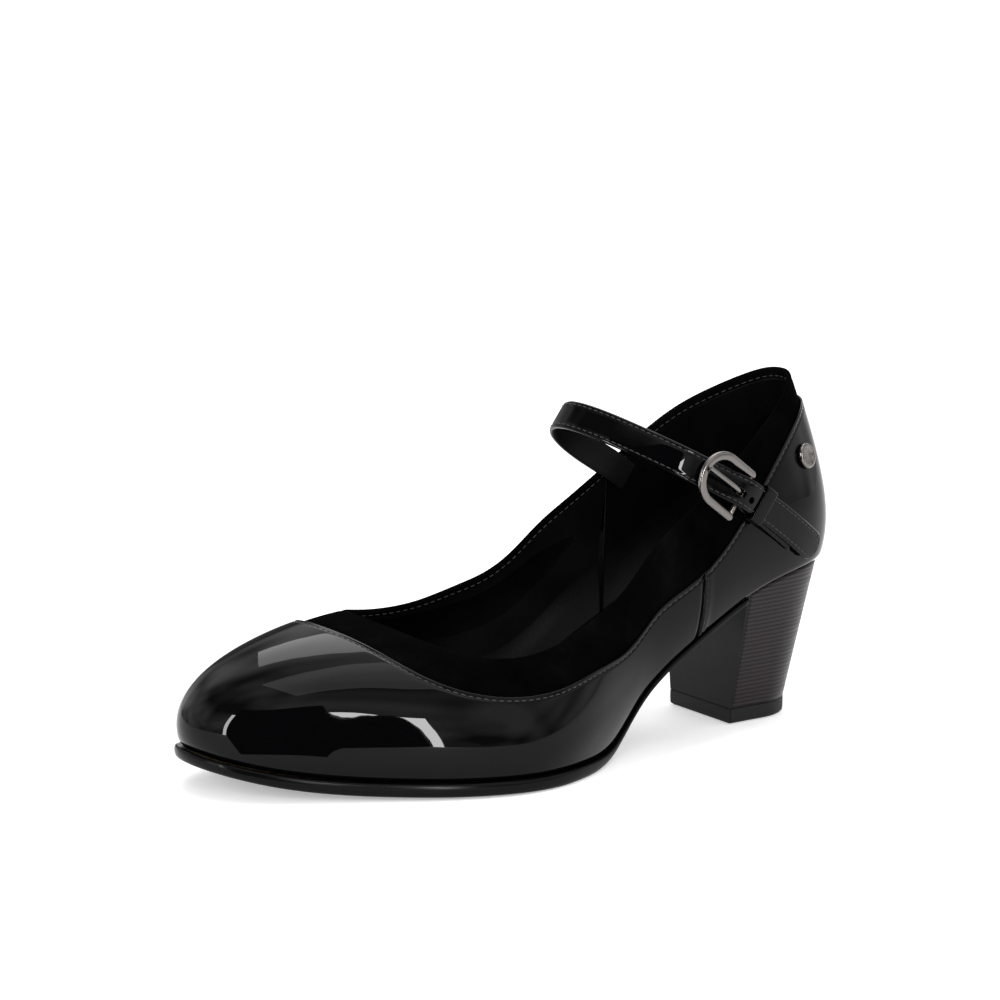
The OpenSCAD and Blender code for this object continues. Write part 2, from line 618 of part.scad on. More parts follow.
// Middle line of the chape's tab, [p, q], from its squared end to the bar
chape_line = [[-30.8, 1.15], [-22.8, 2], [-14.8, 2.6], [-7, bar_q], [bar_p, bar_q]];
function chape_mid(t) = open_curve(chape_line, t);
chape_slot_p = -3.6;
module chape() {
    n = 16;
    top = [for (k = [0 : n]) chape_mid(4 * k / n) + [0, chape_t / 2]];
    low = [for (k = [n : -1 : 0]) chape_mid(4 * k / n) - [0, chape_t / 2]];
    slot = prong_ring_w + 0.6;
    color([0.05, 0.05, 0.05]) at_foot() difference() {
        union() {
            translate([0, 0, chape_c - chape_w / 2]) linear_extrude(chape_w) polygon(concat(top, low));
            translate([bar_p, bar_q, chape_c - chape_w / 2]) cylinder(r = loop_r, h = chape_w, $fn = 48);
        }
        translate([bar_p, bar_q, chape_c - chape_w]) cylinder(d = bar_bore, h = 2 * chape_w, $fn = 48);
        translate([chape_slot_p, -2, prong_c - slot / 2]) cube([12, 10, slot]);
    }
}

// Keeper: a loop round the chape's tab and the tail
keeper_p = -10.3;
keeper_t = 0.7;
keeper_play = 0.3;
tail_c = 1.2;
tab_drop = 0.1;
tail_rise = 0.65;
keeper_low = bar_q - tab_drop - chape_t / 2 - keeper_play / 2 - keeper_t;
keeper_high = on_tab + tail_rise + strap_t / 2 + keeper_play + keeper_t;
keeper_c0 = min(chape_c - chape_w / 2, tail_c - strap_w / 2) - keeper_play;
keeper_c1 = max(chape_c + chape_w / 2, tail_c + strap_w / 2) + keeper_play;
module keeper() {
    color([0.04, 0.04, 0.045]) at_foot() translate([keeper_p, 0, 0]) difference() {
        translate([0, keeper_low, keeper_c0 - keeper_t])
            cube([keeper_l, keeper_high - keeper_low, keeper_c1 - keeper_c0 + 2 * keeper_t]);
        translate([-1, keeper_low + keeper_t, keeper_c0])
            cube([keeper_l + 2, keeper_high - keeper_low - 2 * keeper_t, keeper_c1 - keeper_c0]);
    }
}

// Frame: a bar, two arms and a half-round arc of domed section
rim_w = 3.2;
rim_h = 2.4;
frame_tilt = 2;
frame_w = strap_w + 2 * frame_side_gap + rim_w;
arm_l = frame_reach - frame_w / 2;
module rim_section() {
    intersection() {
        translate([0, -1]) circle(r = 2.2, $fn = 64);
        translate([-rim_w / 2, -rim_h / 2]) square([rim_w, rim_h]);
    }
}
module at_bar() {
    at_foot() translate([bar_p, bar_q, 0]) rotate([0, 0, frame_tilt]) children();
}
module buckle_frame() {
    color([0.35, 0.33, 0.32]) at_bar() translate([0, 0, frame_c]) {
        translate([0, 0, -frame_w / 2]) cylinder(d = bar_d, h = frame_w, $fn = 48);
        for (s = [-1, 1]) translate([0, 0, s * frame_w / 2]) {
            rotate([0, 90, 0]) linear_extrude(arm_l) rim_section();
            rotate([-90, 0, 0]) translate([0, 0, -rim_h / 2]) cylinder(d = rim_w, h = rim_h - 0.6, $fn = 48);
        }
        translate([arm_l, 0, 0]) rotate([-90, 0, 0]) difference() {
            rotate_extrude($fn = 96) translate([frame_w / 2, 0]) rim_section();
            translate([-frame_w, -frame_w, -5]) cube([frame_w, 2 * frame_w, 10]);
        }
    }
}

// Prong: a ring on the bar and a rod that rises through the strap and rests on the arc
prong_ring_w = 2.4;
prong_d = 1.5;
prong_line = [[0.9, 0.9], [5.2, 3.75], [18.8, 2.45]];
module bar_between(a, b, d) {
    v = b - a;
    translate([a[0], a[1], 0]) rotate([0, 0, atan2(v[1], v[0])]) translate([0, -d / 2, -d / 2]) cube([norm(v), d, d]);
}
module buckle_prong() {
    color([0.45, 0.43, 0.42]) at_bar() translate([0, 0, prong_c]) difference() {
        union() {
            translate([0, 0, -prong_ring_w / 2]) cylinder(r = loop_r - 0.05, h = prong_ring_w, $fn = 48);
            bar_between(prong_line[0], prong_line[1], prong_d);
            bar_between(prong_line[1], prong_line[2], prong_d);
            translate([prong_line[1][0], prong_line[1][1], -prong_d / 2])
                cylinder(d = prong_d + 0.02, h = prong_d, $fn = 32);
        }
        translate([0, 0, -prong_ring_w]) cylinder(d = bar_bore, h = 2 * prong_ring_w, $fn = 48);
    }
}

// ---- stud -----------------------------------------------------------------------------------
stud_lift = 0.12;
module stud_cap() {
    r = stud_d / 2;
    color([0.4, 0.38, 0.36]) on_skin(stud_u, stud_v) translate([0, 0, stud_lift]) rotate_extrude($fn = 64)
        polygon([[0, 0], [r - 0.4, 0], [r, 0.5], [r, stud_h * 0.6], [r - 0.7, stud_h], [r - 1.5, stud_h],
            [r - 2.3, stud_h * 0.62], [0, stud_h * 0.5]]);
}
module stud_post() {
    color([0.5, 0.5, 0.5]) on_skin(stud_u, stud_v) translate([0, 0, -depth_a + glue])
        cylinder(d = post_d, h = depth_a - glue + stud_lift - 0.02, $fn = 32);
}

outsole();
bottom_filler();
shank();
insole_board();
heel_pad();
sock_lining();
heel_block();
heel_wrap();
breast_cover();
top_piece();
top_piece_pins();
heel_screw();
heel_nails();
vamp();
quarter();
collar();
toe_puff();
heel_counter();
side_backers();
vamp_lining();
quarter_lining();
strap_anchor();
strap();
chape();
keeper();
buckle_frame();
buckle_prong();
stud_cap();
stud_post();
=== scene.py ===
import math

import bmesh
import bpy
import numpy as np
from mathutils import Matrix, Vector


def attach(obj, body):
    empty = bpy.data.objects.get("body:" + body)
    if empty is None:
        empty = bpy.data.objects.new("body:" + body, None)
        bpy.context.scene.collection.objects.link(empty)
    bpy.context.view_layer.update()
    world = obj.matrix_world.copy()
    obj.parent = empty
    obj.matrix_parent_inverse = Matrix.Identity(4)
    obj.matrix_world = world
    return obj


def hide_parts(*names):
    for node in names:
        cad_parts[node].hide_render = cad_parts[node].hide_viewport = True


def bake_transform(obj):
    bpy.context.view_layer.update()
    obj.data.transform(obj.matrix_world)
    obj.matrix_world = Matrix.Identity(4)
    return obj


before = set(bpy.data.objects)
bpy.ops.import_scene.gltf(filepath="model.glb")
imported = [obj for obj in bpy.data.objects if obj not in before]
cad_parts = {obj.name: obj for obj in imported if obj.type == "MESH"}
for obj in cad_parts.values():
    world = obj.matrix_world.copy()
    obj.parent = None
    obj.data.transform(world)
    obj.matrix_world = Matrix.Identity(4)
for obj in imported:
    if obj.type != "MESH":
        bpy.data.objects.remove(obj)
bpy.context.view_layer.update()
MM = 0.001

# ---- the last, as in part.scad (millimetres) -------------------------------------------------
# feather x, y; topline x, y, height over the bed; three pairs of bulge and rise; collar seam
STATIONS = np.array([
    [2, 0, 11.5, 0, 66.5, 5, 16, 6, 0, 3, 0, 0.84],
    [4.5, 15.5, 14, 9.5, 66, 5, 16, 6, 0, 3, 0, 0.85],
    [18, 25, 27, 19.5, 59.5, 4, 15, 5, 0, 2, 0, 0.84],
    [42, 26, 46, 24.5, 51, 4, 13, 4, 0, 2, 0, 0.7],
    [65, 25.5, 66, 27, 47, 5, 12, 4, 0, 2, 0, 0.46],
    [86, 24.5, 83, 28, 47.5, 5, 12, 4, 0, 2, 0, 0.56],
    [101, 25, 98, 29, 49.5, 5, 13, 4, 0, 2, 0, 0.61],
    [122, 39, 114, 31, 47, 4, 13, 4, 0, 3, 0, 0.68],
    [148, 47.5, 133, 31.5, 37.5, 3, 14, 5, 2, 4, 2, 0.6],
    [177, 36.5, 151, 28, 35.5, 4, 16, 7, 7, 4, 5, 0.59],
    [206, 18, 163, 16.5, 38.5, 5, 18, 8, 12, 2, 8, 0.68],
    [231, 6, 168, 3, 41, 7, 21, 8, 15, 0, 9, 0.75],
    [243.5, -14, 172.5, -12, 43.5, 8, 22, 8, 16, 0, 9, 0.77],
    [236.5, -33, 178, -29, 46, 7, 21, 8, 15, 0, 8, 0.75],
    [211, -40.5, 166, -34, 42, 4, 18, 6, 12, 2, 6, 0.66],
    [182, -39, 146, -31.5, 43, 3, 15, 6, 5, 3, 3, 0.6],
    [154, -35, 128, -30, 50, 3, 14, 5, 2, 3, 0, 0.62],
    [126, -26, 108, -28, 52, 4, 13, 4, 0, 3, 0, 0.66],
    [99, -21, 88, -27.5, 49.5, 5, 12, 4, 0, 2, 0, 0.6],
    [70, -22, 66, -26.5, 54.5, 5, 12, 4, 0, 2, 0, 0.46],
    [42, -25.5, 46, -24.5, 58, 4, 13, 4, 0, 2, 0, 0.7],
    [17.5, -24.5, 27.5, -20, 61, 4, 15, 5, 0, 2, 0, 0.84],
    [4, -14.5, 14, -10, 66, 5, 16, 6, 0, 3, 0, 0.85]], float)
TURNS = len(STATIONS)
HALF = TURNS / 2
BED = np.array([56.4, 55.6, 54.4, 52.6, 50, 46, 40.6, 34.6, 28.4, 20.6, 9, 4.2, 3.9, 4.3, 4.6, 4.8,
                5, 5.1, 5.3, 5.7, 6.2, 7.2, 8.7, 10.9, 13.6, 17])
MIDDLE = np.array([120.6, 1.9])
SIDE_U = 4.2
PATENT, COLLAR, LINING, GLUE = 1.1, 0.95, 0.8, 0.05
DEPTH_B = PATENT + GLUE
DEPTH_A = DEPTH_B + COLLAR + GLUE
WALL = DEPTH_A + LINING


def weights(t):
    return ((1 - t) ** 3 / 6, (3 * t ** 3 - 6 * t * t + 4) / 6,
            (-3 * t ** 3 + 3 * t * t + 3 * t + 1) / 6, t ** 3 / 6)


def closed_curve(rows, u):
    i = np.floor(u).astype(int)
    w = weights(u - i)
    n = len(rows)
    return sum(w[k][..., None] * rows[(i - 1 + k) % n] for k in range(4))


def open_curve(rows, u):
    u = np.asarray(u, float)
    rows = np.asarray(rows, float)
    i = np.floor(u).astype(int)
    w = weights(u - i)
    n = len(rows)
    wide = rows.reshape(n, -1)
    out = sum(w[k][..., None] * wide[np.clip(i - 1 + k, 0, n - 1)] for k in range(4))
    return out[..., 0] if rows.ndim == 1 else out


def ease(t):
    s = np.clip(t, 0, 1)
    return s * s * (3 - 2 * s)


def bed(x, y):
    """Height between upper and sole, from part coordinates in millimetres."""
    lx, ly = np.asarray(x, float) + MIDDLE[0], np.asarray(y, float) + MIDDLE[1]
    skew = np.where((lx > 50) & (lx < 190), 0.2 * np.sin(np.pi * (lx - 50) / 140) ** 2, 0)
    return open_curve(BED, np.maximum(0, lx + skew * (ly - 25)) / 10)


def unit(v):
    return v / np.linalg.norm(v, axis=-1, keepdims=True)


def plan_raw(u):
    return closed_curve(STATIONS, np.asarray(u, float))[..., :2] - MIDDLE


def plan_normal(u):
    d = plan_raw(np.asarray(u, float) + 0.002) - plan_raw(np.asarray(u, float) - 0.002)
    return unit(np.stack([-d[..., 1], d[..., 0]], -1))


def plan(u, out):
    return plan_raw(u) + np.asarray(out)[..., None] * plan_normal(u)


def skin(u, v):
    u, v = np.broadcast_arrays(np.asarray(u, float), np.asarray(v, float))
    r = closed_curve(STATIONS, u)
    n2 = plan_normal(u)
    n = np.concatenate([n2, np.zeros(n2.shape[:-1] + (1,))], -1)
    up = np.array([0, 0, 1.0])
    f2, t2 = r[..., 0:2] - MIDDLE, r[..., 2:4] - MIDDLE
    f = np.concatenate([f2, bed(f2[..., 0], f2[..., 1])[..., None]], -1)
    t = np.concatenate([t2, (bed(t2[..., 0], t2[..., 1]) + r[..., 4])[..., None]], -1)
    a = f + n * r[..., 5:6] + up * r[..., 6:7]
    b = f + (t - f) * 0.45 + n * r[..., 7:8] + up * r[..., 8:9]
    c = f + (t - f) * 0.78 + n * r[..., 9:10] + up * r[..., 10:11]
    v = v[..., None]
    w = 1 - v
    return w ** 4 * f + 4 * w ** 3 * v * a + 6 * w * w * v * v * b + 4 * w * v ** 3 * c + v ** 4 * t


def skin_normal(u, v):
    e = 0.004
    u, v = np.asarray(u, float), np.asarray(v, float)
    return unit(np.cross(skin(u, v + e) - skin(u, v - e), skin(u + e, v) - skin(u - e, v)))


def wall_at(u, v, depth):
    return skin(u, v) - np.asarray(depth)[..., None] * skin_normal(u, v)


def rise(u, v):
    """Length of the wall per unit of v."""
    e = 0.004
    return np.linalg.norm(skin(u, np.asarray(v) + e) - skin(u, np.asarray(v) - e), axis=-1) / (2 * e)


def run(u, v):
    """Length of the wall per unit of u."""
    e = 0.004
    return np.linalg.norm(skin(np.asarray(u) + e, v) - skin(np.asarray(u) - e, v), axis=-1) / (2 * e)


def seam(u):
    return closed_curve(STATIONS, np.asarray(u, float))[..., 11]


# ---- mesh helpers -----------------------------------------------------------------------------
def make(name, verts, faces, material, body="shoe", smooth=True, scale=MM):
    mesh = bpy.data.meshes.new(name)
    mesh.from_pydata((np.asarray(verts, float).reshape(-1, 3) * scale).tolist(), [],
                     [list(map(int, f)) for f in faces])
    mesh.validate()
    mesh.update()
    obj = bpy.data.objects.new(name, mesh)
    bpy.context.collection.objects.link(obj)
    if smooth:
        mesh.polygons.foreach_set("use_smooth", [True] * len(mesh.polygons))
    mesh.materials.append(material)
    if body:
        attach(obj, body)
    return obj


def grid_faces(m, n, closed_i=False, closed_j=False, offset=0):
    """Quads of an m by n grid of points, row i and place j."""
    i = np.arange(m if closed_i else m - 1)[:, None]
    j = np.arange(n if closed_j else n - 1)[None, :]
    a = i * n + j
    b = ((i + 1) % m) * n + j
    c = ((i + 1) % m) * n + (j + 1) % n
    d = i * n + (j + 1) % n
    return (np.stack([a, b, c, d], -1).reshape(-1, 4) + offset).tolist()


def loops_mesh(loops, closed_i=False):
    """A tube through closed loops, (m, n, 3), capped unless it closes on itself."""
    m, n = loops.shape[:2]
    faces = grid_faces(m, n, closed_i, True)
    if not closed_i:
        faces.append(list(range(n - 1, -1, -1)))
        faces.append([(m - 1) * n + k for k in range(n)])
    return loops.reshape(-1, 3), faces


def outward(obj):
    """Points the normals outwards."""
    bm = bmesh.new()
    bm.from_mesh(obj.data)
    bmesh.ops.recalc_face_normals(bm, faces=bm.faces)
    bm.to_mesh(obj.data)
    bm.free()
    return obj


def merge(parts):
    """Several (verts, faces) as one."""
    verts, faces, at = [], [], 0
    for v, f in parts:
        v = np.asarray(v, float).reshape(-1, 3)
        verts.append(v)
        faces += [[k + at for k in q] for q in f]
        at += len(v)
    return np.concatenate(verts), faces


# ---- materials --------------------------------------------------------------------------------
def new_material(name, base, rough, **sockets):
    m = bpy.data.materials.new(name)
    m.use_nodes = True
    b = m.node_tree.nodes["Principled BSDF"]
    b.inputs["Base Color"].default_value = (*base, 1)
    b.inputs["Roughness"].default_value = rough
    for k, v in sockets.items():
        b.inputs[k.replace("_", " ")].default_value = v
    return m, m.node_tree.nodes, m.node_tree.links, b


def coords(nodes, links, scale=(1, 1, 1), turn=(0, 0, 0)):
    c = nodes.new("ShaderNodeTexCoord")
    g = nodes.new("ShaderNodeMapping")
    g.inputs["Scale"].default_value = scale
    g.inputs["Rotation"].default_value = turn
    links.new(c.outputs["Object"], g.inputs["Vector"])
    return g.outputs["Vector"]


def noise(nodes, links, vector, scale, detail=3.0, rough=0.5):
    n = nodes.new("ShaderNodeTexNoise")
    n.inputs["Scale"].default_value = scale
    n.inputs["Detail"].default_value = detail
    n.inputs["Roughness"].default_value = rough
    links.new(vector, n.inputs["Vector"])
    return n.outputs["Fac"]


def voronoi(nodes, links, vector, scale, feature="F1"):
    n = nodes.new("ShaderNodeTexVoronoi")
    n.feature = feature
    n.inputs["Scale"].default_value = scale
    links.new(vector, n.inputs["Vector"])
    return n.outputs["Distance"]


def span(nodes, links, value, low, high, to_low, to_high):
    n = nodes.new("ShaderNodeMapRange")
    n.inputs["From Min"].default_value = low
    n.inputs["From Max"].default_value = high
    n.inputs["To Min"].default_value = to_low
    n.inputs["To Max"].default_value = to_high
    links.new(value, n.inputs["Value"])
    return n.outputs["Result"]


def ramp(nodes, links, value, stops):
    n = nodes.new("ShaderNodeValToRGB")
    e = n.color_ramp.elements
    e[0].position, e[0].color = stops[0][0], (*stops[0][1], 1)
    e[1].position, e[1].color = stops[-1][0], (*stops[-1][1], 1)
    for p, c in stops[1:-1]:
        k = e.new(p)
        k.color = (*c, 1)
    links.new(value, n.inputs["Fac"])
    return n.outputs["Color"]


def bump(nodes, links, height, distance, strength=1.0, before=None):
    n = nodes.new("ShaderNodeBump")
    n.inputs["Distance"].default_value = distance
    n.inputs["Strength"].default_value = strength
    links.new(height, n.inputs["Height"])
    if before is not None:
        links.new(before, n.inputs["Normal"])
    return n.outputs["Normal"]


def patent_material(name, base=(0.001, 0.001, 0.0012), rough=0.16, wave=0.0002):
    m, n, l, b = new_material(name, base, rough, Coat_Weight=1.0, Coat_Roughness=0.02,
                              Coat_IOR=1.22, Specular_IOR_Level=0.0)
    v = coords(n, l)
    l.new(span(n, l, noise(n, l, v, 55, 4), 0.3, 0.7, rough - 0.04, rough + 0.1), b.inputs["Roughness"])
    slow = bump(n, l, noise(n, l, v, 34, 2), wave, 0.8)
    slow = bump(n, l, noise(n, l, v, 130, 1), wave / 9, 0.8, slow)
    fine = bump(n, l, noise(n, l, v, 900, 2), 0.000008, 0.5, slow)
    l.new(fine, b.inputs["Normal"])
    l.new(slow, b.inputs["Coat Normal"])
    return m


def suede_material():
    m, n, l, b = new_material("suede", (0.001, 0.001, 0.001), 1.0, Specular_IOR_Level=0.0,
                              Sheen_Weight=0.004, Sheen_Roughness=0.5)
    v = coords(n, l)
    nap = noise(n, l, v, 60, 5, 0.6)
    l.new(ramp(n, l, nap, [(0.3, (0.0005, 0.0005, 0.0005)), (0.55, (0.0012, 0.0012, 0.0012)),
                           (0.75, (0.0026, 0.0025, 0.0025))]), b.inputs["Base Color"])
    fibres = bump(n, l, noise(n, l, v, 4200, 3, 0.7), 0.00009, 0.8)
    l.new(bump(n, l, nap, 0.0002, 0.5, fibres), b.inputs["Normal"])
    return m


def grain_material(name, dark, light, rough, pores=1500, depth=0.00005, spec=0.4):
    m, n, l, b = new_material(name, dark, rough, Specular_IOR_Level=spec)
    v = coords(n, l)
    cells = voronoi(n, l, v, pores)
    tone = noise(n, l, v, 45, 4)
    l.new(ramp(n, l, tone, [(0.3, dark), (0.75, light)]), b.inputs["Base Color"])
    l.new(span(n, l, tone, 0.3, 0.7, rough - 0.07, rough + 0.08), b.inputs["Roughness"])
    slow = bump(n, l, noise(n, l, v, 70, 2), 0.0002, 0.5)
    l.new(bump(n, l, cells, depth, 0.8, slow), b.inputs["Normal"])
    return m


def stacked_material():
    """Fine level lines, as of many thin leather lifts."""
    m, n, l, b = new_material("stacked_leather", (0.012, 0.009, 0.01), 0.4, Coat_Weight=0.2,
                              Coat_Roughness=0.25, Coat_IOR=1.25, Specular_IOR_Level=0.1)
    v = coords(n, l, (9, 9, 1))
    w = n.new("ShaderNodeTexWave")
    w.wave_type, w.bands_direction = "BANDS", "Z"
    w.inputs["Scale"].default_value = 210
    w.inputs["Distortion"].default_value = 0.9
    w.inputs["Detail"].default_value = 2.5
    w.inputs["Detail Scale"].default_value = 0.35
    l.new(v, w.inputs["Vector"])
    lifts = w.outputs["Fac"]
    thin = noise(n, l, coords(n, l, (30, 30, 900)), 1, 3, 0.6)
    l.new(ramp(n, l, lifts, [(0.0, (0.0025, 0.0018, 0.002)), (0.35, (0.0065, 0.0046, 0.0053)),
                             (1.0, (0.017, 0.0125, 0.0142))]), b.inputs["Base Color"])
    l.new(span(n, l, thin, 0.3, 0.7, 0.3, 0.46), b.inputs["Roughness"])
    ridges = bump(n, l, lifts, 0.00007, 0.9)
    l.new(bump(n, l, thin, 0.00006, 0.7, ridges), b.inputs["Normal"])
    return m


def metal_material(name, base, rough):
    m, n, l, b = new_material(name, base, rough, Metallic=1.0)
    v = coords(n, l)
    wear = noise(n, l, v, 700, 4, 0.6)
    l.new(span(n, l, wear, 0.3, 0.7, rough - 0.05, rough + 0.08), b.inputs["Roughness"])
    l.new(bump(n, l, noise(n, l, v, 420, 3), 0.00002, 0.4), b.inputs["Normal"])
    return m


def plain_material(name, base, rough, scale=300, depth=0.00006, **k):
    m, n, l, b = new_material(name, base, rough, **k)
    v = coords(n, l)
    t = noise(n, l, v, scale, 5, 0.6)
    l.new(ramp(n, l, t, [(0.3, tuple(c * 0.75 for c in base)), (0.7, tuple(c * 1.2 for c in base))]),
          b.inputs["Base Color"])
    l.new(span(n, l, t, 0.3, 0.7, rough - 0.06, rough + 0.06), b.inputs["Roughness"])
    l.new(bump(n, l, t, depth, 0.7), b.inputs["Normal"])
    return m


PATENT_M = patent_material("patent")
STRAP_M = patent_material("strap_patent", wave=0.00007)
SUEDE_M = suede_material()
LINING_M = grain_material("lining_leather", (0.0008, 0.0008, 0.0008), (0.002, 0.002, 0.002), 0.45, 1500, spec=0.07)
SOCK_M = grain_material("sock_leather", (0.001, 0.001, 0.001), (0.003, 0.003, 0.003), 0.3, 800, 0.00022, 0.5)
INNER_M = grain_material("strap_inner", (0.002, 0.002, 0.002), (0.004, 0.004, 0.004), 0.6, 1600, spec=0.08)
SOLE_M = plain_material("sole_edge", (0.0014, 0.0014, 0.0015), 0.3, 260, 0.00005, Coat_Weight=0.7,
                        Coat_Roughness=0.2, Coat_IOR=1.24, Specular_IOR_Level=0.0)
STACK_M = stacked_material()
BREAST_M = plain_material("breast_leather", (0.002, 0.002, 0.0022), 0.35, 240, 0.00005, Specular_IOR_Level=0.12)
RUBBER_M = plain_material("top_rubber", (0.004, 0.004, 0.0042), 0.6, 1200, 0.00008, Specular_IOR_Level=0.2)
METAL_M = metal_material("gunmetal", (0.16, 0.148, 0.14), 0.2)
STEEL_M = metal_material("steel", (0.55, 0.55, 0.56), 0.3)
THREAD_M = plain_material("thread", (0.03, 0.03, 0.031), 0.5, 2500, 0.00003, Specular_IOR_Level=0.3)
BOARD_M = plain_material("fibreboard", (0.42, 0.3, 0.18), 0.85, 500, 0.0001)
FOAM_M = plain_material("foam", (0.7, 0.68, 0.64), 0.9, 900, 0.0002)
PLASTIC_M = plain_material("heel_core", (0.16, 0.15, 0.145), 0.5, 260, 0.00004)
CANVAS_M = plain_material("stiffener", (0.6, 0.57, 0.5), 0.9, 1500, 0.0001)


def give(node, material):
    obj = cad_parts[node]
    obj.data.materials.clear()
    obj.data.materials.append(material)


for node, material in {
        "bottom_filler": BOARD_M, "shank": STEEL_M, "insole_board": BOARD_M, "heel_pad": FOAM_M,
        "heel_block": PLASTIC_M, "top_piece_pins": STEEL_M, "heel_screw": STEEL_M,
        "heel_nails": STEEL_M, "toe_puff": CANVAS_M, "heel_counter": CANVAS_M,
        "side_backers": CANVAS_M, "stud_post": STEEL_M}.items():
    give(node, material)


# ---- upper ------------------------------------------------------------------------------------
STEP_U = 0.03


def stations_between(a, b):
    n = int(math.ceil((b - a) / STEP_U))
    return a + (b - a) * np.arange(n + 1) / n


def thread_rows(path_pos, path_up, pitch=2.5, length=1.9, radius=0.2, sink=0.02):
    """Stitches along a polyline: short bowed threads that lie on the surface."""
    seg = np.linalg.norm(np.diff(path_pos, axis=0), axis=1)
    s = np.concatenate([[0], np.cumsum(seg)])
    count = int(s[-1] / pitch)
    parts = []
    ring = 6
    ts = np.linspace(0, 1, 7)
    fat = np.array([0.35, 0.8, 1, 1, 1, 0.8, 0.35])
    for k in range(count):
        mid = (k + 0.5) * s[-1] / count
        at = mid + (ts - 0.5) * length
        pos = np.stack([np.interp(at, s, path_pos[:, c]) for c in range(3)], 1)
        up = unit(np.stack([np.interp(at, s, path_up[:, c]) for c in range(3)], 1))
        along = unit(np.gradient(pos, axis=0))
        across = unit(np.cross(along, up))
        lift = (np.sin(np.pi * ts) ** 0.6) * (radius * 0.9) - radius * 0.55 - sink
        centre = pos + up * lift[:, None]
        ang = 2 * np.pi * np.arange(ring) / ring
        loops = centre[:, None] + radius * fat[:, None, None] * (
            np.cos(ang)[None, :, None] * across[:, None] + np.sin(ang)[None, :, None] * up[:, None])
        parts.append(loops_mesh(loops))
    return merge(parts)


def dent(distance, depth, width):
    """How far a stitch line pulls the surface in, at a distance from the line."""
    return depth * np.exp(-(distance / width) ** 2)


STITCH_IN = 1.5


def patent_panel(u0, u1, over):
    """A patent panel between two side seams: its grid is curved over at the collar seam."""
    us = stations_between(u0, u1)
    v_top = seam(us)
    length = rise(us, v_top)
    r = 0.42
    up_to = v_top - r / length
    # distances below the seam, in millimetres, dense near the stitch row
    near = np.array([0, 0.25, 0.5, 0.8, 1.1, 1.35, 1.5, 1.65, 1.9, 2.2, 2.6, 3.2])
    below_near = 34
    rows_v, rows_d = [], []
    lower = up_to - near[-1] / length
    for k in range(below_near):
        t = k / below_near
        v = lower * t
        tuck = 0.7 * (1 - ease(t / 0.035))
        rows_v.append(v)
        rows_d.append(np.full_like(v, tuck))
    for d in near[::-1]:
        v = up_to - d / length
        rows_v.append(v)
        rows_d.append(dent(np.full_like(v, d + r - STITCH_IN), 0.22, 0.55))
    for a in (20, 45, 70, 90):
        a = math.radians(a)
        rows_v.append(up_to + r * math.sin(a) / length)
        rows_d.append(np.full_like(us, r * (1 - math.cos(a))))
    rows_v.append(v_top - 0.02 / length)
    rows_d.append(np.full_like(us, PATENT * 0.75))
    for t in (1.0, 0.9, 0.6, 0.3, 0.0):
        rows_v.append((v_top - 0.3 / length) * t)
        rows_d.append(np.full_like(us, PATENT))
    v = np.stack(rows_v, 1)
    d = np.stack(rows_d, 1)
    u = np.repeat(us[:, None], v.shape[1], 1)
    d = d + over(u, v)
    return loops_mesh(wall_at(u, v, d))


def side_lift(u, v, centre, sign):
    """Distance in millimetres from a side seam, positive inside the quarter."""
    return (centre - u) * sign * run(np.full_like(u, centre), np.clip(v, 0.02, 0.98))


# How far the vamp runs on under the quarter, in u
LAP = 0.07


def vamp_over(u, v):
    """The vamp dips under the quarter at both side seams."""
    a = side_lift(u, v, SIDE_U, 1)
    b = side_lift(u, v, TURNS - SIDE_U, -1)
    s = np.maximum(a, b)
    low = np.minimum(v / 0.03, 1)
    return 0.45 * ease((s + 2.2) / 2.2) * low


def quarter_over(u, v):
    """The quarter lies over the vamp: raised by its edge, with a stitch row behind it."""
    a = side_lift(u, v, SIDE_U, 1)
    b = side_lift(u, v, -SIDE_U, -1)
    s = np.minimum(a, b)
    edge = 0.45
    lifted = -0.4 * (1 - ease((s - 0.5) / 5.0))
    rounded = edge * (1 - np.sqrt(np.clip(1 - (1 - np.clip(s / edge, 0, 1)) ** 2, 0, 1)))
    low = np.minimum(v / 0.03, 1)
    back = np.abs(u) * run(np.zeros_like(u), np.clip(v, 0.02, 0.98))
    return (lifted + rounded + dent(s - STITCH_IN, 0.2, 0.5)) * low + dent(back, 0.25, 0.45)


verts, faces = patent_panel(SIDE_U - LAP, TURNS - SIDE_U + LAP, vamp_over)
vamp = outward(make("vamp_patent", verts, faces, PATENT_M))
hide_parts("vamp")
verts, faces = patent_panel(-SIDE_U, SIDE_U, quarter_over)
quarter = outward(make("quarter_patent", verts, faces, PATENT_M))
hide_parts("quarter")


def seam_stitches(name, u0, u1, over):
    us = np.linspace(u0, u1, 900)
    v = seam(us) - STITCH_IN / rise(us, seam(us))
    depth = over(us, v) + 0.22
    pos = wall_at(us, v, depth)
    verts, faces = thread_rows(pos, skin_normal(us, v))
    make(name, verts, faces, THREAD_M)


seam_stitches("vamp_stitches", SIDE_U + 0.12, TURNS - SIDE_U - 0.12, vamp_over)
seam_stitches("quarter_stitches", -SIDE_U + 0.09, SIDE_U - 0.09, quarter_over)


def side_stitches(name, centre, sign):
    v = np.linspace(0.03, float(seam(np.array(centre))) - 0.03, 200)
    u = centre - sign * STITCH_IN / run(np.full_like(v, centre), v)
    pos = wall_at(u, v, quarter_over(u, v) + 0.2)
    verts, faces = thread_rows(pos, skin_normal(u, v))
    make(name, verts, faces, THREAD_M)


side_stitches("side_stitches_outer", SIDE_U, 1)
side_stitches("side_stitches_inner", -SIDE_U, -1)

# Suede collar: up from under the patent, over the topline and a little way down inside
us = np.arange(int(TURNS / STEP_U)) * (TURNS / int(TURNS / STEP_U))
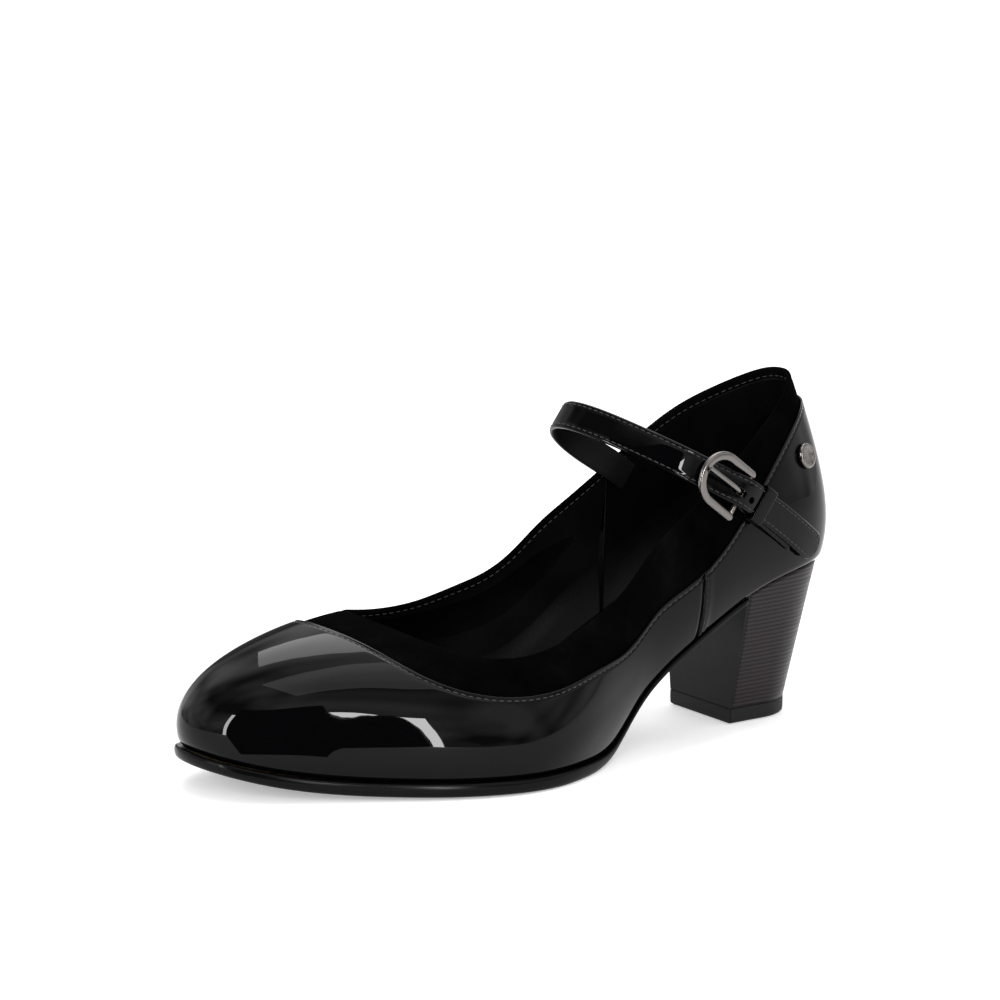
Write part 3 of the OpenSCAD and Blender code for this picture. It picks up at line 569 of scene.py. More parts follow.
# The wall's length per v is read here, just under the topline
NEAR_TOP = 0.98
length = rise(us, np.full_like(us, NEAR_TOP))
v_low = seam(us) - 4.0 / rise(us, seam(us))
# The fold over the topline: its radius through the wall, and how high it stands
rim_r = (WALL - DEPTH_B) / 2
rim_rise = rim_r * 0.75
v_rim = 1 - rim_rise / length
rows_v, rows_d = [], []
for k in range(26):
    t = k / 26
    rows_v.append(v_low + (v_rim - v_low) * t)
    s_mm = (1 - (v_low + (v_rim - v_low) * t)) * length
    rows_d.append(np.full_like(us, DEPTH_B) + dent(s_mm - 2.2, 0.12, 0.5))
for a in np.linspace(0, 180, 11):
    a = math.radians(a)
    rows_v.append(v_rim + rim_rise * math.sin(a) / length)
    rows_d.append(np.full_like(us, DEPTH_B + rim_r * (1 - math.cos(a))))
FOLD = 3.4
for s_mm in (0.8, 1.6, 2.4, 3.0, 3.3, FOLD):
    rows_v.append(v_rim - s_mm / length)
    rows_d.append(np.full_like(us, WALL + (0.0 if s_mm < 3.2 else -0.12)))
rows_v.append(v_rim - FOLD / length)
rows_d.append(np.full_like(us, WALL - 0.45))
rows_v.append(v_rim - 0.6 / length)
rows_d.append(np.full_like(us, WALL - 0.6))
rows_v.append(v_low)
rows_d.append(np.full_like(us, DEPTH_B + COLLAR * 0.9))
v = np.stack(rows_v, 1)
d = np.stack(rows_d, 1)
loops = wall_at(np.repeat(us[:, None], v.shape[1], 1), v, d)
verts, faces = loops_mesh(loops, closed_i=True)
collar = outward(make("collar_suede", verts, faces, SUEDE_M))
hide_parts("collar")
us2 = np.linspace(0, TURNS, 1400)
v2 = 1 - (rim_rise + 2.3) / rise(us2, np.full_like(us2, NEAR_TOP))
pos = wall_at(us2, v2, np.full_like(us2, WALL + 0.02))
verts, faces = thread_rows(pos, -skin_normal(us2, v2), 2.6, 1.9, 0.17)
make("topline_stitches", verts, faces, THREAD_M)


# Lining
def lining(name, u0, u1, node):
    us = stations_between(u0, u1)
    top = 1 - (rim_rise + 2.6) / rise(us, np.full_like(us, NEAR_TOP))
    rows_v, rows_d = [], []
    for k in range(41):
        rows_v.append(0.012 + (top - 0.012) * k / 40)
        rows_d.append(np.full_like(us, WALL - 0.12))
    for t in (1.0, 0.5, 0.0):
        rows_v.append(0.012 + (top - 0.012) * t)
        rows_d.append(np.full_like(us, WALL - 0.55))
    v, d = np.stack(rows_v, 1), np.stack(rows_d, 1)
    verts, faces = loops_mesh(wall_at(np.repeat(us[:, None], v.shape[1], 1), v, d))
    obj = outward(make(name, verts, faces, LINING_M))
    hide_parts(node)


lining("vamp_lining_leather", SIDE_U + 0.01, TURNS - SIDE_U - 0.01, "vamp_lining")
lining("quarter_lining_leather", -SIDE_U + 0.01, SIDE_U - 0.01, "quarter_lining")


# ---- slabs ------------------------------------------------------------------------------------
def slab_mesh(us, rim, height_top, height_low, across=28):
    """A slab between two heights: rim lists (outward distance per u, share from top to bottom)."""
    m = len(us)
    inner = TURNS - us
    t = np.linspace(0, 1, across + 1)[None, :, None]

    def level(out):
        a, b = plan(us, out(us)), plan(inner, out(inner))
        return a[:, None] * (1 - t) + b[:, None] * t

    def with_z(p, share):
        top, low = height_top(p[..., 0], p[..., 1]), height_low(p[..., 0], p[..., 1])
        return np.concatenate([p, (top + (low - top) * share)[..., None]], -1)

    order = ([(i, 0) for i in range(m)] + [(m - 1, k) for k in range(1, across)]
             + [(i, across) for i in range(m - 1, -1, -1)] + [(0, k) for k in range(across - 1, 0, -1)])
    oi, ok = np.array([o[0] for o in order]), np.array([o[1] for o in order])
    top = with_z(level(rim[0][0]), rim[0][1])
    low = with_z(level(rim[-1][0]), rim[-1][1])
    verts = [top.reshape(-1, 3), low.reshape(-1, 3)]
    n_grid = m * (across + 1)
    faces = grid_faces(m, across + 1)
    faces += [q[::-1] for q in grid_faces(m, across + 1, offset=n_grid)]
    at = 2 * n_grid
    ring_ids = [oi * (across + 1) + ok]
    for out, share in rim[1:-1]:
        g = with_z(level(out), share)[oi, ok]
        verts.append(g)
        ring_ids.append(at + np.arange(len(oi)))
        at += len(oi)
    ring_ids.append(n_grid + oi * (across + 1) + ok)
    for a, b in zip(ring_ids[:-1], ring_ids[1:]):
        a2, b2 = np.roll(a, -1), np.roll(b, -1)
        faces += np.stack([a2, a, b, b2], -1).tolist()
    return np.concatenate(verts), faces


def flat(distance):
    return lambda u: np.full_like(np.asarray(u, float), distance)


def sock_rise(x):
    lx = x + MIDDLE[0]
    pad = 2 * (1 - 0.75 * ease((lx - 48) / 18))
    return (pad + 0.2) * (1 - ease((lx - 68) / 14))


SOCK_LIFT = 0.2 + 1.4 + 0.2 + 2 + 0.2
us = np.concatenate([[0.1, 0.16, 0.24, 0.34, 0.46], np.arange(0.6, HALF - 0.55, 0.12),
                     [HALF - 0.46, HALF - 0.34, HALF - 0.24, HALF - 0.16, HALF - 0.1]])
sock = outward(make("sock_leather", *slab_mesh(
    us, [(flat(-WALL - 0.25), 0.12), (flat(-WALL - 0.1), 0.3), (flat(-WALL - 0.1), 0.8), (flat(-WALL - 0.2), 1.0)],
    lambda x, y: bed(x, y) + SOCK_LIFT + sock_rise(x) + 1,
    lambda x, y: bed(x, y) + SOCK_LIFT + sock_rise(x)), SOCK_M))
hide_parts("sock_lining")


def sole_thick(x):
    lx = x + MIDDLE[0]
    return 2 + 2.6 * ease((lx - 96) / 34) - 0.5 * ease((lx - 200) / 45)


def sole_reach(mm):
    return lambda u: mm * (0.45 + 0.55 * ease((plan_raw(u)[..., 0] + MIDDLE[0] - 90) / 35))


us = np.concatenate([[3.26], np.arange(3.32, HALF - 0.4, 0.05),
                     [HALF - 0.4, HALF - 0.3, HALF - 0.2, HALF - 0.14, HALF - 0.1]])
WELT = 1.9
sole = outward(make("outsole_leather", *slab_mesh(
    us, [(sole_reach(WELT - 1.2), 0.02), (sole_reach(WELT - 0.75), 0.03), (sole_reach(WELT - 0.35), 0.08),
         (sole_reach(WELT - 0.1), 0.2), (sole_reach(WELT), 0.36), (sole_reach(WELT), 0.52),
         (sole_reach(WELT - 0.1), 0.7), (sole_reach(WELT - 0.35), 0.86), (sole_reach(WELT - 0.8), 0.96),
         (sole_reach(WELT - 1.4), 1.0)],
    bed, lambda x, y: np.maximum(0, bed(x, y) - sole_thick(x))), SOLE_M))
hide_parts("outsole")

# ---- heel -------------------------------------------------------------------------------------
HEEL_Y = -2.9
HEEL_FRONT = 46 - MIDDLE[0]
HEEL_R, HEEL_L = 17.0, 32.0
HEEL_MID = HEEL_FRONT - HEEL_L + HEEL_R
TOP_T = 5.4
BREAST_U = {1: 3.16, -1: 3.11}
HEEL_INSET = 1.3


def heel_foot(s, side, inset):
    r = HEEL_R - inset
    a = np.minimum(s / 0.7, 1) * np.pi / 2
    x = np.where(s < 0.7, HEEL_MID - r * np.cos(a), HEEL_MID + (HEEL_FRONT - HEEL_MID) * (s - 0.7) / 0.3)
    return np.stack([x, HEEL_Y + side * r * np.sin(a)], -1)


def heel_head(s, side, inset):
    return plan(side * s * BREAST_U[side], np.full_like(s, -HEEL_INSET - inset))


def heel_shell(inset0, inset1, low):
    s = np.linspace(0, 1, 60)
    path = [(s[::-1], 1), (s[1:], -1)]
    rows = 30

    def wall(inset):
        f = np.concatenate([heel_foot(p, side, inset) for p, side in path])
        h = np.concatenate([heel_head(p, side, inset) for p, side in path])
        hz = bed(h[:, 0], h[:, 1]) - 0.2
        t = np.linspace(0, 1, rows + 1)[None, :, None]
        a = np.concatenate([f, np.full((len(f), 1), low)], 1)[:, None]
        b = np.concatenate([h, hz[:, None]], 1)[:, None]
        return a + (b - a) * t

    o, i = wall(inset0), wall(inset1)
    loops = np.concatenate([o, i[:, ::-1]], 1)
    return loops_mesh(loops)


wrap = outward(make("heel_wrap_leather", *heel_shell(0, 0.8, TOP_T + 0.1), STACK_M))
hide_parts("heel_wrap")

give("breast_cover", BREAST_M)
give("top_piece", RUBBER_M)


def heel_top_piece():
    """The top piece with a slightly rounded edge."""
    s = np.linspace(0, 1, 50)
    levels = [(1.4, 0.0), (0.5, 0.12), (0.15, 0.45), (0.05, 1.0), (0.0, 2.5), (0.0, TOP_T - 0.35), (0.2, TOP_T)]
    loops = []
    for inset, z in levels:
        a = heel_foot(s[::-1], 1, inset)
        b = heel_foot(s[1:], -1, inset)
        p = np.concatenate([a, b])
        p[:, 0] = np.where(p[:, 0] > HEEL_FRONT - 0.01, HEEL_FRONT, p[:, 0])
        front = HEEL_FRONT + 0.85 - min(inset, 0.5)
        p = np.concatenate([[[front, p[0, 1]]], p, [[front, p[-1, 1]]]])
        loops.append(np.concatenate([p, np.full((len(p), 1), z)], 1))
    return loops_mesh(np.array(loops))


top = outward(make("top_piece_rubber", *heel_top_piece(), RUBBER_M))
top.modifiers.new("edges", "WEIGHTED_NORMAL").keep_sharp = True
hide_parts("top_piece")

# ---- strap ------------------------------------------------------------------------------------
LEAN = math.radians(36)
P_DIR = np.array([math.cos(LEAN), 0, math.sin(LEAN)])
Q_DIR = np.array([0, 1.0, 0])
C_DIR = np.array([-math.sin(LEAN), 0, math.cos(LEAN)])
OUTER = skin(np.array(3.42), np.array(0.8))
INNER = skin(np.array(18.8), np.array(1.0))
STRAP_W, STRAP_T = 10.4, 1.5
STRAP = np.array([
    [1, -44.3, -1.1, 1.7], [1, -37.8, 1, 1.7], [1, -30.8, 2.6, 1.6], [1, -22.8, 3.45, 1.5],
    [1, -14.8, 3.95, 1.4], [1, -6.8, 4.15, 1], [1, 0.2, 6.2, 0.5], [1, 6.7, 4.6, -0.4],
    [1, 13.2, 1.3, -1.2], [1, 19.2, -0.1, -2], [0.91, 24.7, 0.1, -2], [0.73, 30.7, 0, -1.4],
    [0.54, 34.6, 0.2, -0.5], [0.35, 37, -0.2, 0.2], [0.18, 35.7, 0, 0.6], [0, 27.7, 1.6, 0.9],
    [0, 19.7, -1.8, 0.2], [0, 11.7, -1, -0.2], [0, 5.2, 2, -0.4], [0, -0.3, 4.6, -0.4],
    [0, -6.3, 4.6, -0.4], [0, -12.3, 4.6, -0.4]])
strap_points = (INNER + (OUTER - INNER) * STRAP[:, :1] + STRAP[:, 1:2] * P_DIR
                + STRAP[:, 2:3] * Q_DIR + STRAP[:, 3:4] * C_DIR)


def pqc(p, q, c):
    """Millimetres from the chape's foot along the strap's three directions."""
    p, q, c = (np.asarray(a)[..., None] for a in (p, q, c))
    return OUTER + p * P_DIR + q * Q_DIR + c * C_DIR


def strap_frame(t):
    m = open_curve(strap_points, t)
    a = unit(open_curve(strap_points, t + 0.01) - open_curve(strap_points, t - 0.01))
    c = unit(C_DIR - (a @ C_DIR)[:, None] * a)
    n = np.cross(c, a)
    return m, a, c, n


# Where the round tip begins along the strap, and how much of the strap it takes
TIP_T, TIP_SHARE = 0.35, 0.7
# Points of the strap's section: the outer face, then the edges and the inner face
TOP_POINTS, LOW_POINTS = 23, 9


def width_at(t):
    s = np.clip((t - TIP_T) / TIP_SHARE, 0.004, 1)
    return STRAP_W * np.sqrt(1 - (1 - s) ** 2)


def build_strap():
    tip = TIP_T + TIP_SHARE * (1 - np.cos(np.linspace(0.06, math.pi / 2, 16)))
    ts = np.concatenate([tip, np.linspace(TIP_T + TIP_SHARE, len(STRAP) - 1.6, 400)[1:]])
    m, a, c, n = strap_frame(ts)
    ws = width_at(ts)
    loops = []
    xs = np.linspace(-1, 1, TOP_POINTS)
    for k in range(len(ts)):
        w = ws[k] / 2
        h = STRAP_T / 2
        edge = np.clip((np.abs(xs) * w - (w - 0.45)) / 0.45, 0, 1)
        soft = np.abs(xs) * w - (w - 1.25)
        top = h + 0.1 * (1 - xs * xs) - 0.34 * edge ** 2.2 - 0.14 * np.exp(-(soft / 0.4) ** 2) * (w > 2.5)
        up = np.stack([xs * w, top], 1)
        low = np.array([[w * 0.99, 0.12], [w * 0.99, -0.35], [w - 0.2, -h], [w * 0.5, -h], [0, -h],
                        [-w * 0.5, -h], [-w + 0.2, -h], [-w * 0.99, -0.35], [-w * 0.99, 0.12]])
        ring = np.concatenate([up, low])
        loops.append(m[k] + ring[:, :1] * c[k] + ring[:, 1:] * n[k])
    return loops_mesh(np.array(loops))


strap = outward(make("strap_patent", *build_strap(), STRAP_M, body=None))
strap.data.materials.append(INNER_M)
n_ring = TOP_POINTS + LOW_POINTS
inner_ids = np.zeros(len(strap.data.polygons), int)
for f, poly in enumerate(strap.data.polygons):
    if len(poly.vertices) == 4:
        places = [v % n_ring for v in poly.vertices]
        if all(TOP_POINTS < p < n_ring - 1 for p in places):
            inner_ids[f] = 1
strap.data.polygons.foreach_set("material_index", inner_ids)


def cutter(p0, p1, c, radius):
    """A rounded slot's prism across the strap, for a boolean cut."""
    ang = np.linspace(-np.pi / 2, np.pi / 2, 14)
    right = np.stack([p1 + radius * np.cos(ang), radius * np.sin(ang)], 1)
    left = np.stack([p0 - radius * np.cos(ang), -radius * np.sin(ang)], 1)
    outline = np.concatenate([right, left])
    loops = np.array([pqc(outline[:, 0], np.full(len(outline), q), c + outline[:, 1]) for q in (0.5, 9.0)])
    obj = make("cutter", *loops_mesh(loops), STRAP_M, body=None, smooth=False)
    return outward(obj)


def carve(obj, knife):
    """Cuts the knife's shape out of a piece, then removes the knife."""
    cut = obj.modifiers.new("cut", "BOOLEAN")
    cut.operation, cut.solver, cut.object = "DIFFERENCE", "EXACT", knife
    with bpy.context.temp_override(object=obj, active_object=obj):
        bpy.ops.object.modifier_apply(modifier=cut.name)
    bpy.data.objects.remove(knife)


PRONG_P, PRONG_C, HOLE_R, HOLE_PITCH = 5.2, -0.6, 1.2, 6.5
for p0, p1 in ((PRONG_P - 2.4, PRONG_P + 1.4), (PRONG_P - HOLE_PITCH, PRONG_P - HOLE_PITCH),
               (PRONG_P - 2 * HOLE_PITCH, PRONG_P - 2 * HOLE_PITCH)):
    carve(strap, cutter(p0, p1, PRONG_C, HOLE_R))
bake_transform(strap)
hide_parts("strap", "strap_anchor")


def strap_stitches():
    parts = []
    t = np.linspace(TIP_T + 0.12, len(STRAP) - 3.2, 1600)
    m, a, c, n = strap_frame(t)
    w = width_at(t) / 2 - 1.25
    for side in (-1, 1):
        on = w > 0.3
        pos = m + side * w[:, None] * c + (STRAP_T / 2 + 0.02) * n
        parts.append(thread_rows(pos[on], n[on], 2.3, 1.75, 0.17, 0.03))
    return merge(parts)


threads = make("strap_stitches", *strap_stitches(), THREAD_M, body=None)
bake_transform(threads)

# ---- chape and keeper -------------------------------------------------------------------------
BAR_P, BAR_Q, FRAME_C, CHAPE_C = 1.3, 2.85, -0.8, -0.1
BAR_D, BAR_BORE = 1.8, 1.9
CHAPE_T, CHAPE_W = 0.9, 9.6
CHAPE = np.array([[-30.8, 1.15], [-22.8, 2], [-14.8, 2.6], [-7, BAR_Q], [BAR_P, BAR_Q]])
LOOP_R = BAR_BORE / 2 + CHAPE_T


def chape_outline():
    """Outline of the tab and its loop round the bar, in p and q."""
    t = np.linspace(0, 4, 60)
    mid = open_curve(CHAPE, t)
    d = unit(np.gradient(mid, axis=0))
    nrm = np.stack([-d[:, 1], d[:, 0]], 1)
    top = mid + nrm * CHAPE_T / 2
    low = mid - nrm * CHAPE_T / 2
    ang0 = math.asin((CHAPE_T / 2) / LOOP_R)
    ang = np.linspace(math.pi - ang0, -math.pi + ang0, 40)
    loop = np.stack([BAR_P + LOOP_R * np.cos(ang), BAR_Q + LOOP_R * np.sin(ang)], 1)
    keep = top[:, 0] < BAR_P - LOOP_R * math.cos(ang0) - 0.1
    return np.concatenate([top[keep], loop, low[keep][::-1]])


def prism(outline, c0, c1, edge):
    """An outline in p and q, drawn across from c0 to c1, with slightly rounded long edges."""
    x, y = outline.T
    turn = 1 if np.sum(x * np.roll(y, -1) - np.roll(x, -1) * y) > 0 else -1
    d = np.roll(outline, -1, 0) - np.roll(outline, 1, 0)
    nrm = unit(np.stack([d[:, 1], -d[:, 0]], 1))
    loops = []
    for c, inset in ((c0, edge), (c0 + edge * 0.3, edge * 0.3), (c0 + edge, 0), (c1 - edge, 0),
                     (c1 - edge * 0.3, edge * 0.3), (c1, edge)):
        o = outline - nrm * inset * turn
        loops.append(pqc(o[:, 0], o[:, 1], np.full(len(o), c)))
    return loops_mesh(np.array(loops))


chape = outward(make("chape_patent", *prism(chape_outline(), CHAPE_C - CHAPE_W / 2, CHAPE_C + CHAPE_W / 2, 0.18),
                     STRAP_M))
PRONG_SLOT = 3.0
ang = np.linspace(0, 2 * np.pi, 41)[:-1]
bore = make("cutter", *loops_mesh(np.array([
    pqc(BAR_P + BAR_BORE / 2 * np.cos(ang), BAR_Q + BAR_BORE / 2 * np.sin(ang), np.full(40, c))
    for c in (-8.0, 8.0)])), STRAP_M, body=None)
box = np.array([[-3.6, -2], [8, -2], [8, 9], [-3.6, 9]])
notch = make("cutter2", *loops_mesh(np.array([
    pqc(box[:, 0], box[:, 1], np.full(4, c))
    for c in (PRONG_C - PRONG_SLOT / 2, PRONG_C + PRONG_SLOT / 2)])), STRAP_M, body=None)
for knife in (outward(bore), outward(notch)):
    carve(chape, knife)
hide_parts("chape")

KEEP_P, KEEP_L, KEEP_T = -10.3, 5.2, 0.7
KEEP_Q0, KEEP_Q1, KEEP_C0, KEEP_C1 = 1.45, 6.45, -5.2, 6.7
# The loop is pared on its inner face, so that it runs clear of the strap's thread
KEEP_PARED = 0.45


def build_keeper():
    """A leather loop with round corners, slightly crowned along the strap."""
    r = 0.7
    q0, q1 = KEEP_Q0 + KEEP_T / 2, KEEP_Q1 - KEEP_T / 2
    c0, c1 = KEEP_C0 - KEEP_T / 2, KEEP_C1 + KEEP_T / 2
    path = []
    for cc, cq, a0 in ((c1 - r, q1 - r, 0), (c0 + r, q1 - r, 90), (c0 + r, q0 + r, 180), (c1 - r, q0 + r, 270)):
        for k in range(9):
            a = math.radians(a0 + 90 * k / 8)
            path.append((cc + r * math.cos(a), cq + r * math.sin(a)))
    path = np.array(path)
    dense = []
    for k in range(len(path)):
        a, b = path[k], path[(k + 1) % len(path)]
        steps = max(1, int(np.linalg.norm(b - a) / 0.6))
        for s in range(steps):
            dense.append(a + (b - a) * s / steps)
    path = np.array(dense)
    d = unit(np.roll(path, -1, 0) - np.roll(path, 1, 0))
    nrm = np.stack([d[:, 1], -d[:, 0]], 1)
    xs = np.linspace(0, 1, 13)
    ring = []
    h = KEEP_T / 2
    for x in xs:
        e = min(x, 1 - x) * KEEP_L
        crown = 0.0 if e > 0.35 else -0.22 * (1 - e / 0.35) ** 2
        ring.append((x * KEEP_L, h + crown - 0.08 * math.exp(-((e - 0.9) / 0.3) ** 2)))
    for x in xs[::-1]:
        ring.append((x * KEEP_L, -h * KEEP_PARED))
    ring = np.array(ring)
    loops = []
    for k in range(len(path)):
        cq = path[k] + ring[:, 1:] * nrm[k]
        loops.append(pqc(KEEP_P + ring[:, 0], cq[:, 1], cq[:, 0]))
    return loops_mesh(np.array(loops), closed_i=True)


keeper = outward(make("keeper_patent", *build_keeper(), STRAP_M, body="keeper"))
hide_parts("keeper")

# ---- buckle -----------------------------------------------------------------------------------
TILT = math.radians(2)
FRAME_W, REACH = 16.4, 18.6
ARM = REACH - FRAME_W / 2


def at_bar(p, q, c):
    """Millimetres from the bar's middle, in the tilted frame of the buckle."""
    p, q = np.asarray(p, float), np.asarray(q, float)
    return pqc(BAR_P + p * math.cos(TILT) - q * math.sin(TILT),
               BAR_Q + p * math.sin(TILT) + q * math.cos(TILT), np.asarray(c, float))


def build_frame():
    """A domed D: two arms and a half-round arc, with round ends over the bar."""
    path, across = [], []
    r = FRAME_W / 2
    for k in range(13):
        path.append((ARM * k / 12, -r))
        across.append((0, -1))
    for k in range(1, 48):
        a = -math.pi / 2 + math.pi * k / 48
        path.append((ARM + r * math.cos(a), r * math.sin(a)))
        across.append((math.cos(a), math.sin(a)))
    for k in range(13):
        path.append((ARM * (1 - k / 12), r))
        across.append((0, 1))
    path, across = np.array(path), np.array(across, float)
    ends = []
    for k in range(1, 9):
        a = math.pi / 2 * k / 8
        ends.append((math.sin(a), math.cos(a)))
    sec = []
    for a in np.linspace(0, 2 * np.pi, 29)[:-1]:
        x, y = math.cos(a), math.sin(a)
        x = math.copysign(abs(x) ** 0.8, x)
        y = math.copysign(abs(y) ** 0.85, y)
        sec.append((1.55 * x, 1.12 * y if y > 0 else 1.0 * max(y, -0.8)))
    sec = np.array(sec)

    def ring(p, n, squeeze, back):
        pos = np.array(p)[None] + sec[:, :1] * squeeze * np.array(n)[None]
        return at_bar(pos[:, 0] - back, sec[:, 1] * (0.35 + 0.65 * squeeze), FRAME_C + pos[:, 1])

    loops = [ring(path[0], across[0], co, si * 1.5) for si, co in ends[::-1]]
    loops += [ring(p, n, 1, 0) for p, n in zip(path, across)]
    loops += [ring(path[-1], across[-1], co, si * 1.5) for si, co in ends]
    ang = np.linspace(0, 2 * np.pi, 25)[:-1]
    bar = np.array([at_bar(BAR_D / 2 * np.cos(ang), BAR_D / 2 * np.sin(ang), np.full(24, c))
                    for c in np.linspace(FRAME_C - FRAME_W / 2, FRAME_C + FRAME_W / 2, 9)])
    return merge([loops_mesh(np.array(loops)), loops_mesh(bar)])


buckle = outward(make("buckle_metal", *build_frame(), METAL_M, body="buckle_frame"))
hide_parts("buckle_frame")


def build_prong():
    """A ring on the bar and a tapered pin with a blunt tip."""
    line = np.array([[0.9, 0.9], [2.6, 2.1], [5.0, 3.5], [8.5, 3.45], [14, 2.9], [18.4, 2.5], [19.0, 2.42]])
    t = np.linspace(0, len(line) - 1, 50)
    mid = open_curve(line, t)
    d = unit(np.gradient(mid, axis=0))
    nrm = np.stack([-d[:, 1], d[:, 0]], 1)
    r = 0.74 * np.clip(np.sqrt(np.clip((len(line) - 1 - t) / 0.5, 0, 1)), 0.08, 1)
    ang = np.linspace(0, 2 * np.pi, 17)[:-1]
    loops = []
    for k in range(len(t)):
        pq = mid[k] + nrm[k] * (r[k] * np.sin(ang))[:, None]
        loops.append(at_bar(pq[:, 0], pq[:, 1], PRONG_C + r[k] * np.cos(ang) * 1.1))
    rod = loops_mesh(np.array(loops))
    turns = []
    w, inner, outer = 1.2, BAR_BORE / 2, LOOP_R - 0.05
    sec = [(inner, -w + 0.15), (inner, w - 0.15), (inner + 0.15, w), (outer - 0.25, w), (outer, w - 0.25),
           (outer, -w + 0.25), (outer - 0.25, -w), (inner + 0.15, -w)]
    for a in np.linspace(0, 2 * np.pi, 49)[:-1]:
        turns.append([at_bar(rr * math.cos(a), rr * math.sin(a), PRONG_C + c) for rr, c in sec])
    ring = loops_mesh(np.array(turns), closed_i=True)
    return merge([rod, ring])


prong = outward(make("prong_metal", *build_prong(), METAL_M, body="buckle_prong"))
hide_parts("buckle_prong")

# ---- stud -------------------------------------------------------------------------------------
STUD_U, STUD_V, STUD_LIFT = np.array(1.8), np.array(0.646), 0.12
s_pos, s_n = skin(STUD_U, STUD_V), skin_normal(STUD_U, STUD_V)
s_x = unit(np.cross([0, 0, 1.0], s_n))
s_y = np.cross(s_n, s_x)
# Radius and height of the dish, from its middle to its underside
profile = [(0.01, 0.95), (1.2, 0.93), (1.6, 0.86), (1.75, 0.98), (1.95, 1.02), (2.2, 0.98), (2.5, 1.15),
           (2.9, 1.55), (3.25, 1.75), (3.65, 1.78), (4.05, 1.62), (4.35, 1.25), (4.5, 0.75), (4.42, 0.2),
           (4.1, 0.0), (0.01, 0.0)]
loops = []
for r, h in profile:
    a = np.linspace(0, 2 * np.pi, 65)[:-1]
    loops.append(s_pos + s_n * (STUD_LIFT + h) + r * (np.cos(a)[:, None] * s_x + np.sin(a)[:, None] * s_y))
stud = outward(make("stud_metal", *loops_mesh(np.array(loops)), METAL_M))
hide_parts("stud_cap")

# ---- stage ------------------------------------------------------------------------------------
floor_m, n, l, b = new_material("floor", (0.93, 0.93, 0.93), 0.7, Specular_IOR_Level=0.1)
b.inputs["Emission Color"].default_value = (1, 1, 1, 1)
b.inputs["Emission Strength"].default_value = 0.3
bpy.ops.mesh.primitive_plane_add(size=30, location=(0, 0, -0.0002))
floor = bpy.context.object
floor.name = "floor"
floor.data.materials.append(floor_m)

# ---- camera -----------------------------------------------------------------------------------
yaw, pitch, dist = math.radians(146.2), math.radians(10.36), 850.0
back = Vector((math.sin(yaw) * math.cos(pitch), -math.cos(yaw) * math.cos(pitch), math.sin(pitch)))
right = Vector((math.cos(yaw), math.sin(yaw), 0))
up = back.cross(right)
AIM_RIGHT, AIM_UP = -8.59, 24.12
aim = Vector((1.4, -1.9, 60)) + right * AIM_RIGHT + up * AIM_UP
camera = bpy.data.cameras.new("camera")
camera.sensor_width = 36
camera.lens = 36 * 2.55548
camera.clip_start, camera.clip_end = 0.05, 100
eye = bpy.data.objects.new("camera", camera)
bpy.context.collection.objects.link(eye)
eye.location = (aim + back * dist) * MM
eye.rotation_mode = "QUATERNION"
eye.rotation_quaternion = (-back).to_track_quat("-Z", "Y")
bpy.context.scene.camera = eye

# ---- light ------------------------------------------------------------------------------------
# A tent of uneven tone lights the shoe, and the camera sees plain white behind it
world = bpy.data.worlds.new("world")
world.use_nodes = True
wn, wl = world.node_tree.nodes, world.node_tree.links
directions = wn.new("ShaderNodeTexCoord")
tent = wn.new("ShaderNodeTexNoise")
tent.inputs["Scale"].default_value = 2.1
tent.inputs["Detail"].default_value = 1.0
wl.new(directions.outputs["Generated"], tent.inputs["Vector"])
tone = wn.new("ShaderNodeMapRange")
for key, value in (("From Min", 0.35), ("From Max", 0.65), ("To Min", 0.12), ("To Max", 1.5)):
    tone.inputs[key].default_value = value
wl.new(tent.outputs["Fac"], tone.inputs["Value"])
seen = wn.new("ShaderNodeLightPath")
pick = wn.new("ShaderNodeMix")
pick.inputs["B"].default_value = 1.05
wl.new(seen.outputs["Is Camera Ray"], pick.inputs["Factor"])
wl.new(tone.outputs["Result"], pick.inputs["A"])
wn["Background"].inputs["Color"].default_value = (1, 1, 1, 1)
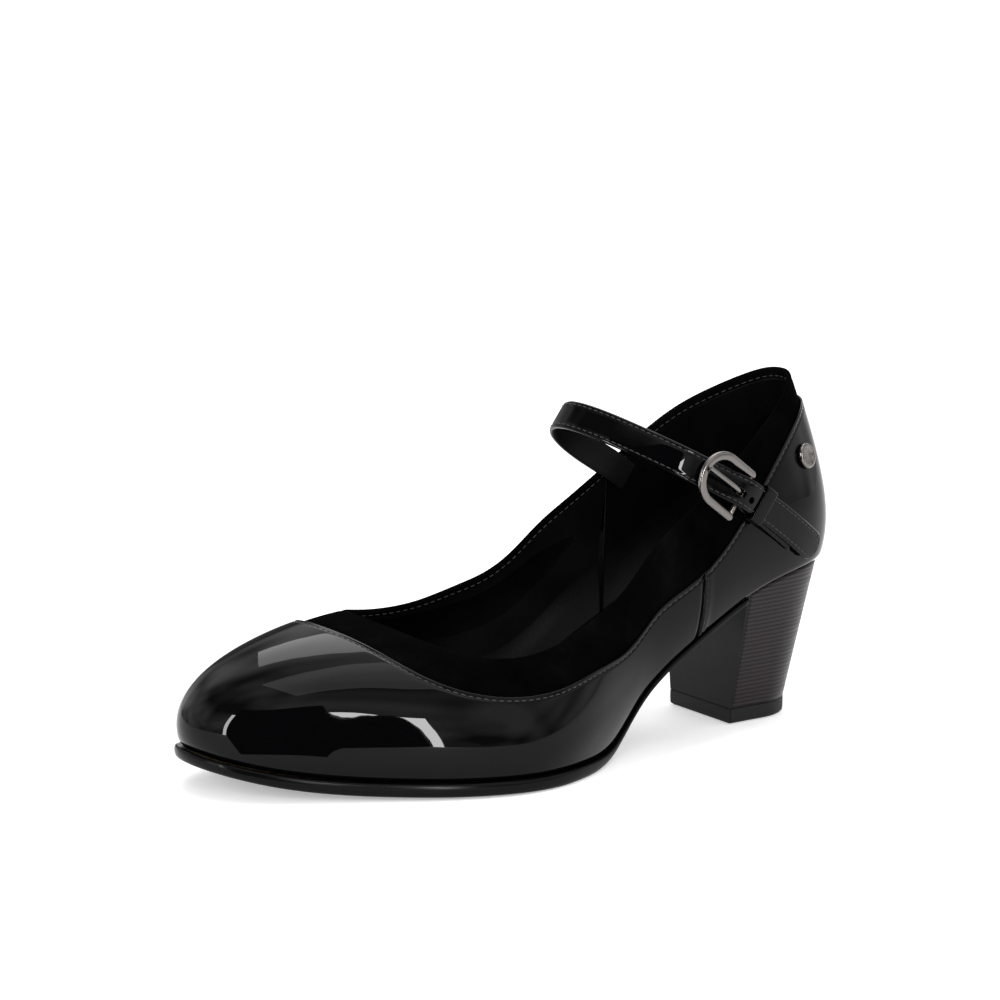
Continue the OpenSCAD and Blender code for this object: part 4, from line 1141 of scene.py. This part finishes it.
wl.new(pick.outputs["Result"], wn["Background"].inputs["Strength"])
bpy.context.scene.world = world


def softbox(name, spot, target, size, watts):
    data = bpy.data.lights.new(name, "AREA")
    data.shape, data.size, data.size_y, data.energy = "RECTANGLE", size[0], size[1], watts
    o = bpy.data.objects.new(name, data)
    bpy.context.collection.objects.link(o)
    o.location = spot
    o.rotation_mode = "QUATERNION"
    o.rotation_quaternion = (Vector(target) - Vector(spot)).to_track_quat("-Z", "Y")
    return o


# Directions as seen from the toe: az 0 looks at the camera, and grows to the picture's right
TOE = Vector((0.085, -0.002, 0.02))
toward = Vector((back.x, back.y, 0)).normalized()


def around(az, el, radius):
    a, e = math.radians(az), math.radians(el)
    flat = toward * math.cos(a) + right * math.sin(a)
    return TOE + (flat * math.cos(e) + Vector((0, 0, math.sin(e)))) * radius


# A black flag behind the camera, seen only in the gloss: it lies on the floor and rises behind
flag_m, n, l, b = new_material("flag", (0.001, 0.001, 0.001), 1.0, Specular_IOR_Level=0.0)
AZ0, AZ1, REACH_M, FLAG_TOP = -41.0, 12.5, 1.3, 1.42
verts = []
azs = np.linspace(AZ0, AZ1, 15)
for az in azs:
    flat_way = (toward * math.cos(math.radians(az)) + right * math.sin(math.radians(az)))
    for r in (0.05, 0.5, REACH_M):
        verts.append(tuple(Vector((TOE.x, TOE.y, 0.001)) + flat_way * r))
    verts.append(tuple(Vector((TOE.x, TOE.y, FLAG_TOP)) + flat_way * REACH_M))
flag = make("flag", verts, grid_faces(len(azs), 4), flag_m, body=None, smooth=False, scale=1.0)
flag.visible_camera = flag.visible_diffuse = flag.visible_shadow = flag.visible_transmission = False

softbox("strip_right", around(14.5, 16, 1.25), TOE, (0.06, 0.95), 9)
softbox("strip_left", around(-43, 16, 1.25), TOE, (0.07, 0.95), 8)
softbox("back", around(178, 50, 1.5), TOE, (1.0, 0.55), 6)
softbox("top", around(60, 84, 1.6), (0, 0, 0.05), (0.9, 0.9), 5)
bpy.context.scene.view_settings.view_transform = "Standard"
